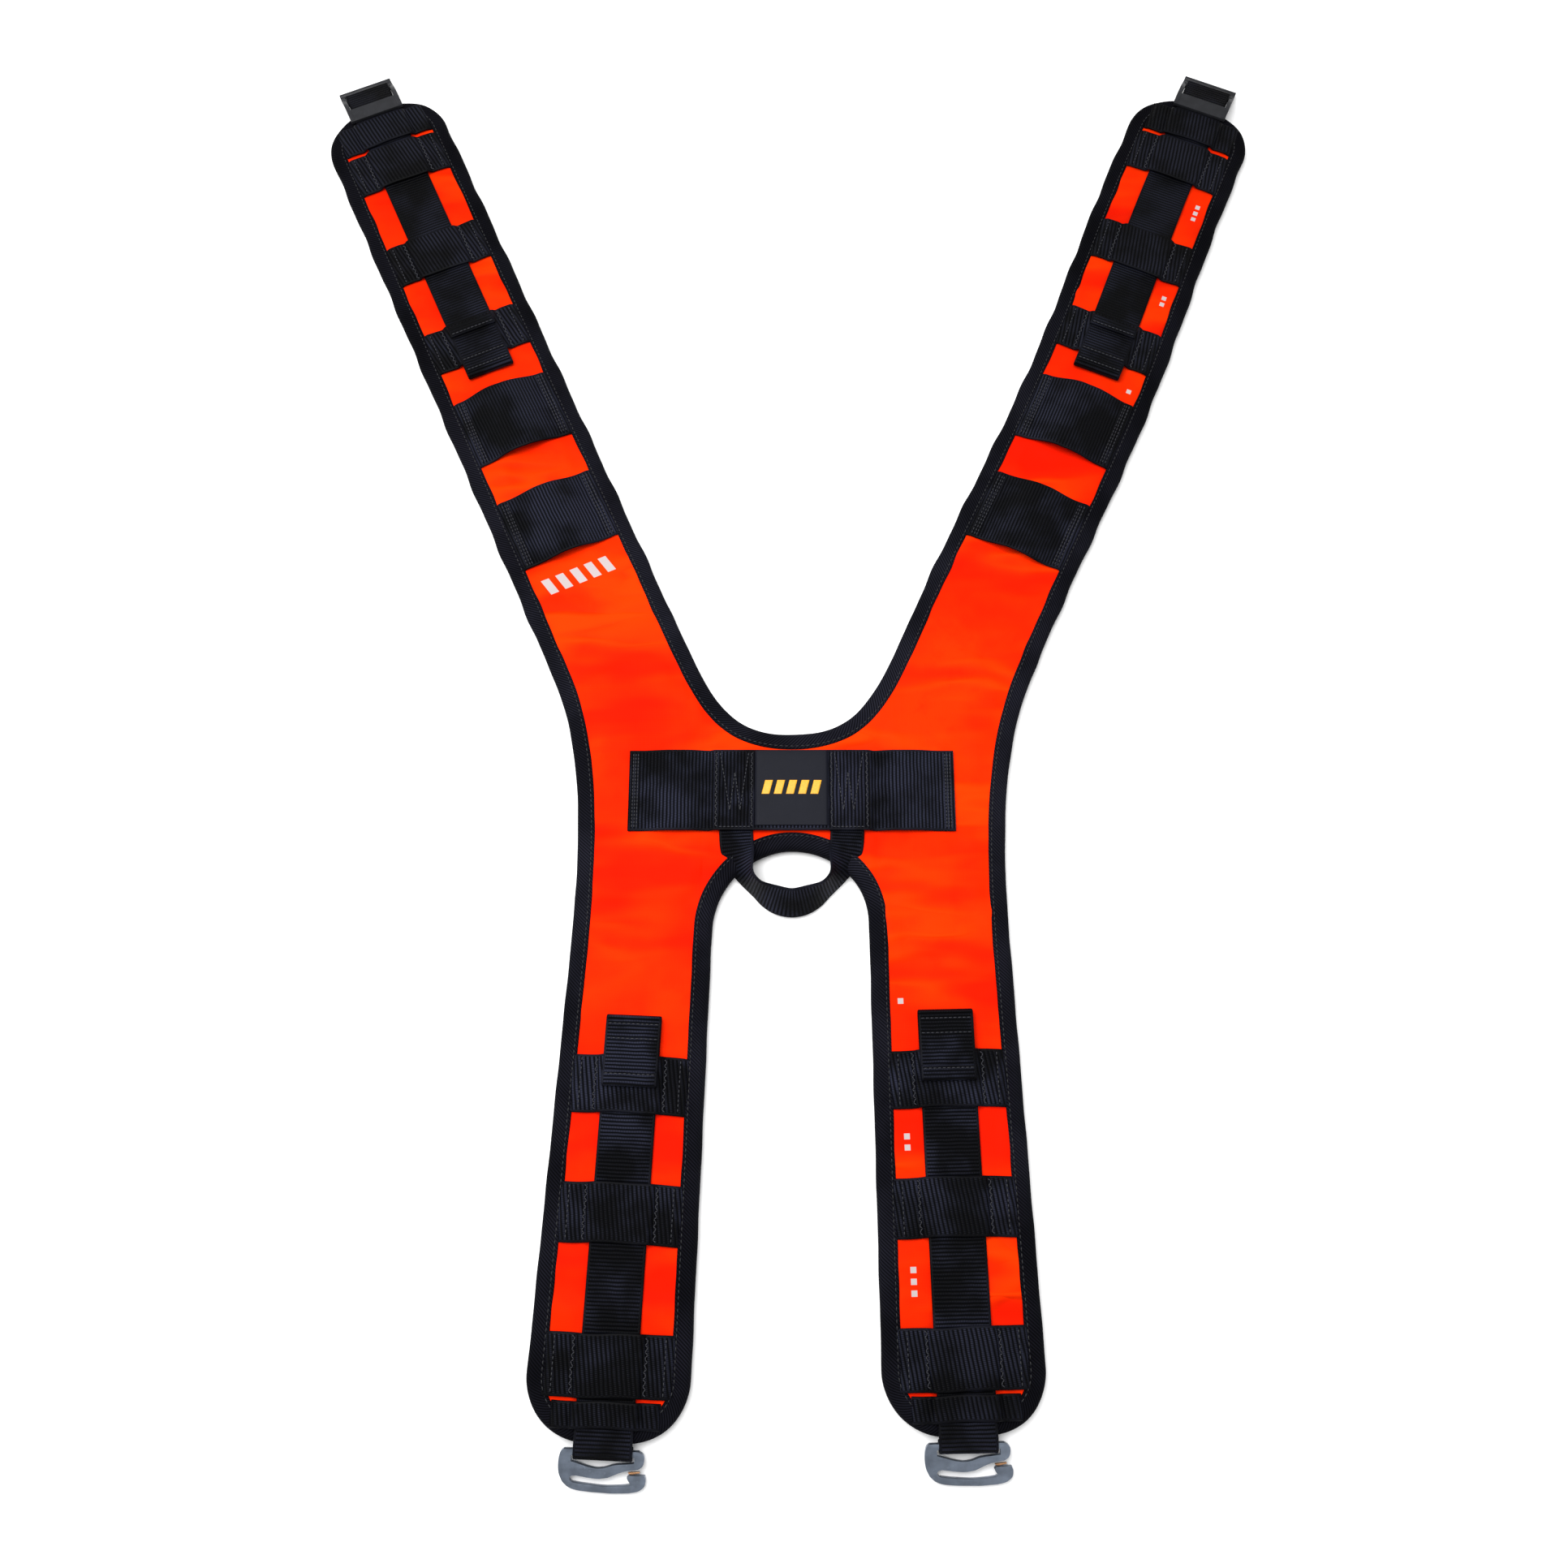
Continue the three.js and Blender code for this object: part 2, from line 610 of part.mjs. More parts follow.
// ---------------------------------------------------------------- assembly
function buildArm(arm) {
  const group = new THREE.Group();
  group.applyMatrix4(armMatrix(arm));
  harness.add(group);
  const { size } = arm;
  size.wideBands.forEach((along, i) => {
    addPart(`accessory_band_${arm.name}_${i + 1}`, wideBand(size, along), 'webbing', group);
  });
  const narrowBands = [...size.narrowBands, size.length - size.lastBand];
  narrowBands.forEach((along, i) => {
    addPart(`cross_band_${arm.name}_${i + 1}`, narrowBand(size, along, bandWidth), 'webbing', group);
  });
  addPart(`end_band_${arm.name}`, endBand(arm), 'webbing', group);
  const isUpper = arm.up > 0;
  addPart(`strap_${arm.name}`, strap(size, isUpper ? lockLoop : hookLoop), 'webbing', group);
  addPart(`strap_tab_${arm.name}`, tab(size), 'webbing', group);
  if (isUpper) {
    addPart(`ladder_lock_${arm.name}`, ladderLock(size), 'lock', group);
  } else {
    const hook = hookGroup(size);
    group.add(hook);
    addPart(`hook_${arm.name}`, hookPlaced(hookPlate()), 'hook', hook);
    addPart(`hook_keeper_${arm.name}`, hookPlaced(keeperLeaf()), 'keeper', hook);
  }
}

buildPad();
arms.forEach(buildArm);
addPart('chest_band', chestBand(), 'webbing');
addPart('label', label(), 'label');
addPart('haul_loop', haulLoop(), 'webbing');

// The origin goes to the bottom centre of the whole object.
harness.updateMatrixWorld(true);
const extent = new THREE.Box3().setFromObject(harness, true);
const centre = extent.getCenter(new THREE.Vector3());
harness.position.set(-centre.x, -centre.y, -extent.min.z);

export default harness;
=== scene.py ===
"""Looks of a padded H-shaped carrying harness that lies flat with its orange face up.

Lengths in the shape functions are millimetres. A mesh is stored in metres.
An arm's own frame has x across the arm, y out along it from its fold line, and z up.
"""

import json
import math

import bmesh
import bpy
import numpy as np
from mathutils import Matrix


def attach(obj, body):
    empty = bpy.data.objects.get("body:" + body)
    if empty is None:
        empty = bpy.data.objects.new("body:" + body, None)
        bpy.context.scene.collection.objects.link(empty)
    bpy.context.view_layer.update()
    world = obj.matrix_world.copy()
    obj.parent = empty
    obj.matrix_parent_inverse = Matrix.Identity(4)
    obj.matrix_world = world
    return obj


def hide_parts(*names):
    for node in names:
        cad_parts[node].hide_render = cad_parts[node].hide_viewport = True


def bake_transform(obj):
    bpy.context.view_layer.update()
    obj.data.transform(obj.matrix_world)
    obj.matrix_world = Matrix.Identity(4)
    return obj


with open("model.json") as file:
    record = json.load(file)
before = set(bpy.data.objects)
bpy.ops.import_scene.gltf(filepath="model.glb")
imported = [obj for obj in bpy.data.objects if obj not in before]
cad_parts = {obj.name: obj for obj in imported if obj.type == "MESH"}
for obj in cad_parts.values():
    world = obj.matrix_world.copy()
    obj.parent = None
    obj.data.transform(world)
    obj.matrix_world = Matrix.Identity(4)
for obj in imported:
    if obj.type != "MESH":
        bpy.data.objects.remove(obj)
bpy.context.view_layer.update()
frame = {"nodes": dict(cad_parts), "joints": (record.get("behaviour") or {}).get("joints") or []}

bl_info = {
    "name": "Padded carrying harness",
    "version": (1, 0, 0),
    "blender": (4, 5, 0),
    "location": "3D View > Sidebar > Harness",
    "description": "Builds the pad, webbing, stitching and fittings of a padded carrying harness",
    "category": "Add Mesh",
}

MM = 0.001
FLOOR_HALF = 4000.0
VIEW_TARGET = np.array((-0.003, -0.0694, 0.0))
SKY = 0.74
LAMPS = (  # name, place and size in metres, power in watts
    ("key", (-0.32, 0.1, 1.12), 1.0, 21), ("fill", (1.1, -0.9, 1.3), 1.6, 2),
)

# ---------------------------------------------------------------- layout, as in the solid model
PAD_HEIGHT = 9.5
BINDING_WIDTH = 10.5
GAP = 0.3
WEB_THICK = 1.5
WEB_MID = PAD_HEIGHT + GAP + WEB_THICK / 2
WEB_STEP = WEB_THICK + GAP
FOLD_RADIUS = WEB_THICK + GAP
TAB_MID = WEB_MID + 2 * FOLD_RADIUS
STRAP_HALF = 15.5
NARROW_HALF = 16.0
WIDE_HALF = 25.0
TAB_LENGTH = 40.0
HEM_LENGTH = 7.0
FACE_HEIGHT = 9.15  # the face sheet where something holds it down
FACE_DIP = 0.8  # how much lower it lies at its edge, under the binding
TUCK = 5.0  # how far the face runs in under the binding
ROOT = 12.0  # an arm's own pieces start this far inside its fold line

EDGE_ENDS = {  # the yoke's four free edges, and the arms that each runs from and to
    "neck": ("upper_right", "upper_left"), "waist_left": ("upper_left", "lower_left"),
    "crotch": ("lower_left", "lower_right"), "waist_right": ("lower_right", "upper_right"),
}
UP = np.array((0.0, 0.0, 1.0))

HAUL_ROOT = next(joint["pos_m"] for joint in frame["joints"] if joint["name"] == "lift_haul_loop")
CENTRE_X = HAUL_ROOT[0] / MM
CHEST_Y = HAUL_ROOT[1] / MM + 27.2
NECK_Y = CHEST_Y + 36.8
CROTCH_Y = CHEST_Y - 35.8
CHEST_HALF = 96.5
HAUL_LEG = 32.7  # from the middle to each leg of the haul loop
HAUL_REACH = 67.9  # from the chest band's middle line to the loop's furthest point
LABEL_HALF = (21.75, 23.25)
LABEL_UNDER = WEB_MID + WEB_STEP + WEB_THICK / 2 + GAP
LOWER_WAVE = 0.3  # how much less the binding wanders on a lower arm
YOKE_WAVE = 0.15  # how far it wanders on the yoke
SEAM_INSET = 8.6  # the binding's seam, from the pad's edge
SEAM_HEIGHT = PAD_HEIGHT + 0.42
SEAM_PITCH = 3.2

# Both kinds of arm, from the fold line outwards: its length, its half widths at its root and tip,
# the radius of its tip's corners, how far its straight sides run back into the yoke, the middles
# of its accessory bands and cross bands, its end band's two edges, the middle of the turn where
# its strap is folded back, and its bar (distance and height) with the radius of the strap round it.
UPPER = {
    "length": 438.0, "root_half": 41.5, "end_half": 41.5, "tip_radius": 32.0, "root_lead": 14.0,
    "wide": (85.5, 165.5), "narrow": (231.0, 305.0, 385.0), "end": (404.0, 427.0),
    "strap_fold": 205.6, "bar": (454.0, 6.0), "loop": 3.05,
}
LOWER = {
    "length": 264.0, "root_half": 40.5, "end_half": 43.5, "tip_radius": 32.0, "root_lead": 12.0,
    "wide": (), "narrow": (80.0, 149.0, 226.0), "end": (243.5, 257.0),
    "strap_fold": 44.2, "bar": (268.4, 6.5), "loop": 3.1,
}
ARMS = {"upper_left": UPPER, "upper_right": UPPER, "lower_left": LOWER, "lower_right": LOWER}


def arm_frames():
    """Each arm's frame from its fold joint: the fold's centre at floor level, the way across
    (the hinge axis) and the way along, which is up crossed with across."""
    frames = {}
    for joint in frame["joints"]:
        if joint["name"].startswith("fold_"):
            across = np.array(joint["axis"], float)
            origin = np.array(joint["pos_m"], float) / MM
            origin[2] = 0.0
            frames[joint["name"][len("fold_"):]] = (origin, across, np.cross((0, 0, 1), across))
    return frames


FRAMES = arm_frames()
BOW = {"upper_right": 4.9}
BOW_LENGTH = 380.0


def bow(arm, along):
    """How far an arm bows sideways: BOW sin^2(pi y / BOW_LENGTH) over that length from its fold."""
    share = np.clip(np.asarray(along, float) / BOW_LENGTH, 0, 1)
    return BOW.get(arm, 0.0) * np.sin(np.pi * share) ** 2


def turn(arm, ways):
    """Directions in an arm's frame to the whole object's: x across + y along + z up."""
    _, across, along = FRAMES[arm]
    ways = np.asarray(ways, float)
    return ways[..., :1] * across + ways[..., 1:2] * along + ways[..., 2:3] * UP


def place(arm, points):
    """Points in an arm's frame to the whole object's: turned, bowed and put at the origin."""
    origin, across, _ = FRAMES[arm]
    points = np.asarray(points, float)
    return origin + turn(arm, points) + bow(arm, points[..., 1:2]) * across


def local(arm, points):
    """The inverse of place, for x and y."""
    origin, across, along = FRAMES[arm]
    away = np.asarray(points, float) - origin
    return away @ across - bow(arm, away @ along), away @ along


def smoothstep(value, low, high):
    """3t^2 - 2t^3 of how far value has gone from low to high."""
    t = np.clip((np.asarray(value, float) - low) / (high - low), 0, 1)
    return t * t * (3 - 2 * t)


def half_width(size, along, inset=0.0):
    """Half an arm's width: a straight taper, then a quarter circle down to the flat tip."""
    corner = size["length"] - size["tip_radius"]
    share = np.clip(along / corner, 0, 1)
    straight = size["root_half"] + (size["end_half"] - size["root_half"]) * share - inset
    radius = size["tip_radius"] - inset
    past = np.clip(along - corner, 0, radius)
    rounded = size["end_half"] - size["tip_radius"] + np.sqrt(radius**2 - past**2)
    return np.where(along > corner, rounded, straight)


# ---------------------------------------------------------------- meshes
def new_object(name, points, faces, uv=None, edge=None, smooth=True):
    """A mesh object from points in millimetres, faces as rows of indices, and maps per point."""
    mesh = bpy.data.meshes.new(name)
    mesh.from_pydata((np.asarray(points, float) * MM).tolist(), [], faces)
    corner = np.empty(len(mesh.loops), np.int64)
    mesh.loops.foreach_get("vertex_index", corner)
    for title, values in (("UVMap", uv), ("Edge", edge)):
        if values is not None:
            layer = mesh.uv_layers.new(name=title)
            layer.data.foreach_set("uv", (np.asarray(values, float)[corner] * MM).ravel())
    mesh.polygons.foreach_set("use_smooth", np.full(len(mesh.polygons), smooth))
    mesh.update()
    made = bpy.data.objects.new(name, mesh)
    bpy.context.scene.collection.objects.link(made)
    return made


def grid_faces(rows, columns, closed=False):
    """Quads between neighbours on a grid of rows and columns, the columns joined up if closed."""
    index = np.arange(rows * columns).reshape(rows, columns)
    if closed:
        index = np.concatenate((index, index[:, :1]), axis=1)
    quads = np.stack((index[:-1, :-1], index[:-1, 1:], index[1:, 1:], index[1:, :-1]), axis=-1)
    return quads.reshape(-1, 4)


def path_length(points):
    """Distance walked along a row of points, from 0."""
    steps = np.linalg.norm(np.diff(points, axis=0), axis=1)
    return np.concatenate(([0.0], np.cumsum(steps)))


def resample(points, spacing):
    """The same line with even steps close to spacing."""
    walked = path_length(points)
    count = max(int(round(walked[-1] / spacing)), 2) + 1
    at = np.linspace(0, walked[-1], count)
    return np.stack([np.interp(at, walked, points[:, i]) for i in range(points.shape[1])], axis=1)


def smooth_path(knots, count):
    """A Catmull-Rom curve through the knots: on each span the cubic whose end slopes are half the
    step between the neighbours on either side, sampled evenly in its parameter."""
    knots = np.asarray(knots, float)
    padded = np.vstack((2 * knots[0] - knots[1], knots, 2 * knots[-1] - knots[-2]))
    at = np.linspace(0, len(knots) - 1, count)
    span = np.minimum(at.astype(int), len(knots) - 2)
    t = (at - span)[:, None]
    a, b, c, d = (padded[span + i] for i in range(4))
    return 0.5 * (2 * b + (c - a) * t + (2 * a - 5 * b + 4 * c - d) * t**2
                  + (3 * b - a - 3 * c + d) * t**3)


def strip(path, across, half, thick, columns=9, crown=0.0):
    """Webbing along a path. Its section is a flat bar with round selvedges: v runs evenly from
    -half to half, and its top and bottom lie w = thick/2 off the middle, falling as a quarter
    circle over the last thick/2. crown lifts the middle of the width by crown (1 - (v/half)^2)."""
    path, across = np.asarray(path, float), np.asarray(across, float)
    if across.ndim == 1:
        across = np.broadcast_to(across, path.shape)
    tangent = np.gradient(path, axis=0)
    up = np.cross(tangent, across)
    up /= np.linalg.norm(up, axis=1)[:, None]
    round_part = thick / 2
    inner = np.linspace(-(half - round_part), half - round_part, columns)
    turn = np.radians((90, 60, 30))
    outer = half - round_part + round_part * np.cos(turn)[1:]
    v = np.concatenate(([-half], -outer[::-1], inner, outer, [half]))
    over = np.clip(np.abs(v) - (half - round_part), 0, round_part)
    w = np.sqrt(np.clip(round_part**2 - over**2, 0, None))
    ring_v = np.concatenate((v, v[-2:0:-1]))
    ring_w = np.concatenate((w, -w[-2:0:-1]))
    ring_w = ring_w + crown * (1 - (ring_v / half) ** 2)
    rows, columns = len(path), len(ring_v)
    points = (path[:, None] + ring_v[None, :, None] * across[:, None]
              + ring_w[None, :, None] * up[:, None])
    walked = path_length(path)
    uv = np.stack(np.broadcast_arrays(walked[:, None], ring_v[None]), axis=-1)
    ends = np.minimum(walked, walked[-1] - walked)
    edge = np.stack(np.broadcast_arrays(ends[:, None], (half - np.abs(ring_v))[None]), axis=-1)
    faces = grid_faces(rows, columns, closed=True)[:, ::-1].tolist()
    faces.append(list(range(columns)))
    faces.append(list(range((rows - 1) * columns, rows * columns))[::-1])
    return points.reshape(-1, 3), faces, uv.reshape(-1, 2), edge.reshape(-1, 2)


def outward(points, faces):
    """The faces, turned round if the tube they bound would have a negative volume. That is the sum
    of p . (q x r) + p . (r x s) over its quads p, q, r, s."""
    quads = np.array([face for face in faces if len(face) == 4])
    p, q, r, s = (points[quads[:, i]] for i in range(4))
    volume = np.einsum("ij,ij->i", p, np.cross(q, r) + np.cross(r, s)).sum()
    return faces if volume > 0 else [face[::-1] for face in faces]


def build_strip(name, arm, *shape, **more):
    """A strip in an arm's frame (or the whole object's, with arm None) made an object."""
    points, faces, uv, edge = strip(*shape, **more)
    if arm is not None:
        points = place(arm, points)
    return new_object(name, points, outward(points, faces), uv, edge)


def join_shapes(shapes):
    """Several (points, faces, uv, edge) as one, with the faces renumbered."""
    points, faces, uv, edge, start = [], [], [], [], 0
    for shape in shapes:
        points.append(shape[0])
        faces += [[i + start for i in face] for face in outward(shape[0], shape[1])]
        uv.append(shape[2])
        edge.append(shape[3])
        start += len(shape[0])
    return np.vstack(points), faces, np.vstack(uv), np.vstack(edge)


def facing_up(points, faces):
    """The quads, turned round if the first of them would face down."""
    a, b, c = points[faces[0, :3]]
    return faces if np.cross(b - a, c - b)[2] > 0 else faces[:, ::-1]


def thicken(obj, thick):
    """A second layer, that far inside the first. Its edges stay open: they lie under the binding,
    or meet the next piece's."""
    made = obj.modifiers.new("Thickness", "SOLIDIFY")
    made.thickness = thick * MM
    made.offset = -1
    made.use_rim = False


def smooth_once(obj):
    """One round of Catmull-Clark subdivision."""
    made = obj.modifiers.new("Smooth", "SUBSURF")
    made.levels = made.render_levels = 1


def finer_copy(node, name, bevel):
    """A copy of a solid with its points merged, its flat faces joined and its edges rounded."""
    mesh = frame["nodes"][node].data.copy()
    mesh.name = name
    shape = bmesh.new()
    shape.from_mesh(mesh)
    bmesh.ops.remove_doubles(shape, verts=shape.verts, dist=2e-6)
    bmesh.ops.dissolve_limit(shape, angle_limit=math.radians(1.5), verts=shape.verts, edges=shape.edges)
    shape.to_mesh(mesh)
    shape.free()
    mesh.polygons.foreach_set("use_smooth", np.ones(len(mesh.polygons), bool))
    made = bpy.data.objects.new(name, mesh)
    bpy.context.scene.collection.objects.link(made)
    edges = made.modifiers.new("Rounded", "BEVEL")
    edges.width = bevel * MM
    edges.segments = 3
    edges.limit_method = "ANGLE"
    edges.angle_limit = math.radians(40)
    edges.harden_normals = True
    return made


# ---------------------------------------------------------------- finishes
class Finish:
    """A new material with short calls for the nodes that the finishes share."""

    def __init__(self, name):
        self.material = bpy.data.materials.new(name)
        self.material.use_nodes = True
        self.tree = self.material.node_tree
        self.shader = self.tree.nodes["Principled BSDF"]

    def node(self, kind, **settings):
        """A new node of a kind, with its own settings."""
        made = self.tree.nodes.new("ShaderNode" + kind)
        for key, value in settings.items():
            setattr(made, key, value)
        return made

    def put(self, socket, value):
        """Links another socket to this one, or sets a plain value on it."""
        if isinstance(value, bpy.types.NodeSocket):
            self.tree.links.new(value, socket)
        elif value is not None:
            socket.default_value = value

    def math(self, operation, *values):
        """One step of arithmetic on sockets or numbers."""
        made = self.node("Math", operation=operation)
        for socket, value in zip(made.inputs, values):
            self.put(socket, value)
        return made.outputs[0]

    def uv(self, title="UVMap"):
        """The map's two coordinates in millimetres."""
        made = self.node("SeparateXYZ")
        scale = self.node("VectorMath", operation="SCALE")
        scale.inputs["Scale"].default_value = 1000.0
        self.put(scale.inputs[0], self.node("UVMap", uv_map=title).outputs[0])
        self.put(made.inputs[0], scale.outputs[0])
        return made.outputs[0], made.outputs[1]

    def object_point(self):
        """The point's place on the whole object at rest, in metres."""
        return self.node("TexCoord").outputs["Object"]

    def noise(self, scale, detail=2.0, vector=None, roughness=0.5):
        """Cloudy noise, with scale patches to a metre."""
        made = self.node("TexNoise")
        self.put(made.inputs["Vector"], vector or self.object_point())
        made.inputs["Scale"].default_value = scale
        made.inputs["Detail"].default_value = detail
        made.inputs["Roughness"].default_value = roughness
        return made.outputs["Fac"]

    def creases(self, angle, across, along):
        """Soft parallel folds: noise stretched along one way, and its middle values as ridges."""
        place_at = self.node("Mapping")
        self.put(place_at.inputs["Vector"], self.object_point())
        place_at.inputs["Rotation"].default_value = (0, 0, angle)
        place_at.inputs["Scale"].default_value = (across, along, 20)
        value = self.noise(1.0, 2, place_at.outputs[0])
        away = self.math("ABSOLUTE", self.math("SUBTRACT", value, 0.5))
        return value, self.ramp(away, 0.0, 0.08, 1.0, 0.0)

    def ramp(self, value, low, high, to_low=0.0, to_high=1.0):
        """A smooth step from one value to another as value goes from low to high."""
        made = self.node("MapRange", interpolation_type="SMOOTHSTEP")
        for socket, item in zip(made.inputs, (value, low, high, to_low, to_high)):
            self.put(socket, item)
        return made.outputs[0]

    def mix(self, share, a, b):
        """The colour a, mixed with a share of b."""
        made = self.node("Mix", data_type="RGBA")
        self.put(made.inputs["Factor"], share)
        self.put(made.inputs[6], tuple(a) + (1,) if isinstance(a, (tuple, list)) else a)
        self.put(made.inputs[7], tuple(b) + (1,) if isinstance(b, (tuple, list)) else b)
        return made.outputs[2]

    def painted_falloff(self, base, least=0.45):
        """Painted shade of the lamps' falloff: the colour is multiplied by a share that falls smoothly
        to least with distance from the middle of the chest band, so it is darker towards the ends of
        the arms and a little lighter in the middle."""
        away = self.node("VectorMath", operation="DISTANCE")
        self.put(away.inputs[0], self.object_point())
        away.inputs[1].default_value = (CENTRE_X * MM, CHEST_Y * MM, 0.0)
        lamp_falloff = self.node("VectorMath", operation="SCALE")
        self.put(lamp_falloff.inputs[0], base)
        self.put(lamp_falloff.inputs["Scale"], self.ramp(away.outputs["Value"], 0.1, 0.48, 1.06, least))
        return lamp_falloff.outputs[0]

    def bump(self, height, distance):
        """Relief on the shader's normal, with its full height in millimetres."""
        made = self.node("Bump")
        self.put(made.inputs["Height"], height)
        made.inputs["Distance"].default_value = distance * MM
        made.inputs["Strength"].default_value = 1.0
        self.put(self.shader.inputs["Normal"], made.outputs[0])

    def ribs(self, value, pitch, power=0.7):
        """|sin(pi value / pitch)| to a power: round ribs with sharp valleys."""
        wave = self.math("SINE", self.math("MULTIPLY", value, math.pi / pitch))
        return self.math("POWER", self.math("ABSOLUTE", wave), power)

    def set(self, **values):
        """Values for the shader's own sockets, named in lower case with underscores."""
        for key, value in values.items():
            title = key.replace("_", " ").title().replace("Ior", "IOR")
            self.put(self.shader.inputs[title], value + (1,) if isinstance(value, tuple) else value)


def webbing_finish(name, colour, pitch, slant=0.0, yarn=0.95):
    """Ribbed webbing: ribs across its length, each broken into yarns that step sideways from one rib to
    the next, plain selvedges, a painted highlight on its ridges in uneven patches, and painted shade in
    the valleys between them."""
    made = Finish(name)
    u, v = made.uv()
    _, side = made.uv("Edge")
    drift = made.math("MULTIPLY", made.math("SUBTRACT", made.noise(90, 2), 0.5), 0.9)
    along = made.math("ADD", made.math("ADD", u, made.math("MULTIPLY", v, slant)), drift)
    rib = made.ribs(along, pitch, 0.75)
    row = made.math("FLOOR", made.math("DIVIDE", along, pitch))
    shifted = made.math("ADD", v, made.math("MULTIPLY", row, yarn / 2))
    yarns = made.ribs(shifted, yarn, 0.8)
    height = made.math("MULTIPLY", rib, made.math("ADD", made.math("MULTIPLY", yarns, 0.4), 0.6))
    selvedge = made.ramp(side, 0.9, 1.7)
    height = made.math("ADD", made.math("MULTIPLY", height, selvedge),
                       made.math("MULTIPLY", made.math("SUBTRACT", 1.0, selvedge), 0.6))
    # Painted highlight: the ridges are lighter in cloudy patches, and the valleys get painted shade far
    # darker than the webbing's own colour.
    cloud = made.noise(34, 3)
    wear_and_sheen = made.ramp(cloud, 0.36, 0.66, 0.08, 1.0)
    ridge_highlight = made.math("MULTIPLY", made.math("POWER", height, 3.0), wear_and_sheen)
    dark = tuple(c * 0.06 for c in colour)
    light = tuple(min(1, c * 4.9 + 0.0015) for c in colour)
    # The base colour also gets the painted falloff shade, darker towards the ends of the arms.
    made.set(base_color=made.painted_falloff(made.mix(ridge_highlight, dark, light)))
    made.set(roughness=made.ramp(height, 0.0, 1.0, 0.7, 0.42))
    made.set(specular_ior_level=0.05)
    made.bump(height, 0.5)
    return made.material


def binding_finish(name, colour):
    """Twill tape: fine diagonal ribs, with the yarns that cross them, a painted highlight on the ribs
    in soft patches, and painted shade between them.
    """
    made = Finish(name)
    u, v = made.uv()
    slanted = made.math("ADD", u, made.math("MULTIPLY", v, 0.95))
    twill = made.ribs(slanted, 1.95, 0.6)
    cross = made.ribs(made.math("SUBTRACT", made.math("MULTIPLY", u, 0.9), v), 0.7, 0.8)
    height = made.math("MULTIPLY", twill, made.math("ADD", made.math("MULTIPLY", cross, 0.3), 0.7))
    # Painted highlight on the twill ribs, in soft patches, with painted shade in the grooves between
    # them.
    cloud = made.noise(22, 4)
    light = tuple(c * 3.8 + 0.0015 for c in colour)
    dark = tuple(c * 0.1 for c in colour)
    patchy_highlight = made.ramp(cloud, 0.3, 0.75, 0.35, 1.0)
    share = made.math("MULTIPLY", made.math("POWER", height, 2.0), patchy_highlight)
    # The base colour also gets the painted falloff shade, darker towards the ends of the arms.
    made.set(base_color=made.painted_falloff(made.mix(share, dark, light)), roughness=0.82)
    made.set(specular_ior_level=0.025)
    made.bump(height, 0.3)
    return made.material


def face_finish(name, colour, marks, mark_colour):
    """Coated ripstop: a fine square weave with a thicker thread every few millimetres, and soft
    patches. marks are printed bars: (x, y, half width, half height, slant) on the piece's map."""
    made = Finish(name)
    x, y = made.uv()
    weave = made.math("MULTIPLY", made.ribs(x, 0.8, 1.0), made.ribs(y, 0.8, 1.0))
    stop_x = made.math("POWER", made.ribs(x, 5.0, 1.0), 24.0)
    stop_y = made.math("POWER", made.ribs(y, 5.0, 1.0), 24.0)
    stop = made.math("MAXIMUM", stop_x, stop_y)
    height = made.math("ADD", made.math("MULTIPLY", weave, 0.5), made.math("MULTIPLY", stop, 0.35))
    patch = made.noise(16, 3)
    # Painted shade: the orange darkens along soft creases of the cloth.
    crease_shade = made.noise(45, 5, roughness=0.6)
    deep = (colour[0] * 0.78, colour[1] * 0.42, colour[2] * 0.5)
    bright = (min(1, colour[0] * 1.04), colour[1] * 1.2, colour[2])
    base = made.mix(made.ramp(patch, 0.3, 0.7), deep, bright)
    base = made.mix(made.ramp(crease_shade, 0.25, 0.52, 0.5, 0.0), base, deep)
    base = made.mix(made.math("MULTIPLY", weave, 0.3), base, bright)
    place_at = made.ramp(made.noise(7, 1), 0.4, 0.62)
    swell, ridge = made.creases(0.5, 8, 30)
    other, cross_ridge = made.creases(-0.42, 7, 22)
    ridge = made.math("MAXIMUM", ridge, made.math("MULTIPLY", cross_ridge, 0.8))
    ridge = made.math("MULTIPLY", ridge, place_at)
    lit = (min(1, colour[0] * 1.15), colour[1] * 2.0, colour[2])
    base = made.mix(made.math("MULTIPLY", ridge, 0.75), base, lit)
    shade = (colour[0] * 0.8, colour[1] * 0.3, colour[2])
    base = made.mix(made.ramp(swell, 0.5, 0.34, 0.0, 0.8), base, shade)
    folds = made.math("MULTIPLY", made.math("ADD", swell, made.math("MULTIPLY", other, 0.7)), 5.0)
    folds = made.math("ADD", folds, made.math("MULTIPLY", ridge, 1.6))
    # Painted falloff shade: the orange darkens towards the ends of the arms.
    base = made.painted_falloff(base, 0.82)
    made.set(roughness=0.62)
    for mark_x, mark_y, wide, high, slant in marks:
        over_y = made.math("SUBTRACT", y, mark_y)
        over_x = made.math("SUBTRACT", x, mark_x)
        over_x = made.math("SUBTRACT", over_x, made.math("MULTIPLY", over_y, slant))
        across = made.ramp(made.math("ABSOLUTE", over_x), wide - 0.15, wide + 0.15, 1.0, 0.0)
        along = made.ramp(made.math("ABSOLUTE", over_y), high - 0.15, high + 0.15, 1.0, 0.0)
        base = made.mix(made.math("MULTIPLY", across, along), base, mark_colour)
    made.set(base_color=base, specular_ior_level=0.015)
    made.bump(made.math("ADD", made.math("MULTIPLY", height, 0.07), folds), 1.0)
    return made.material


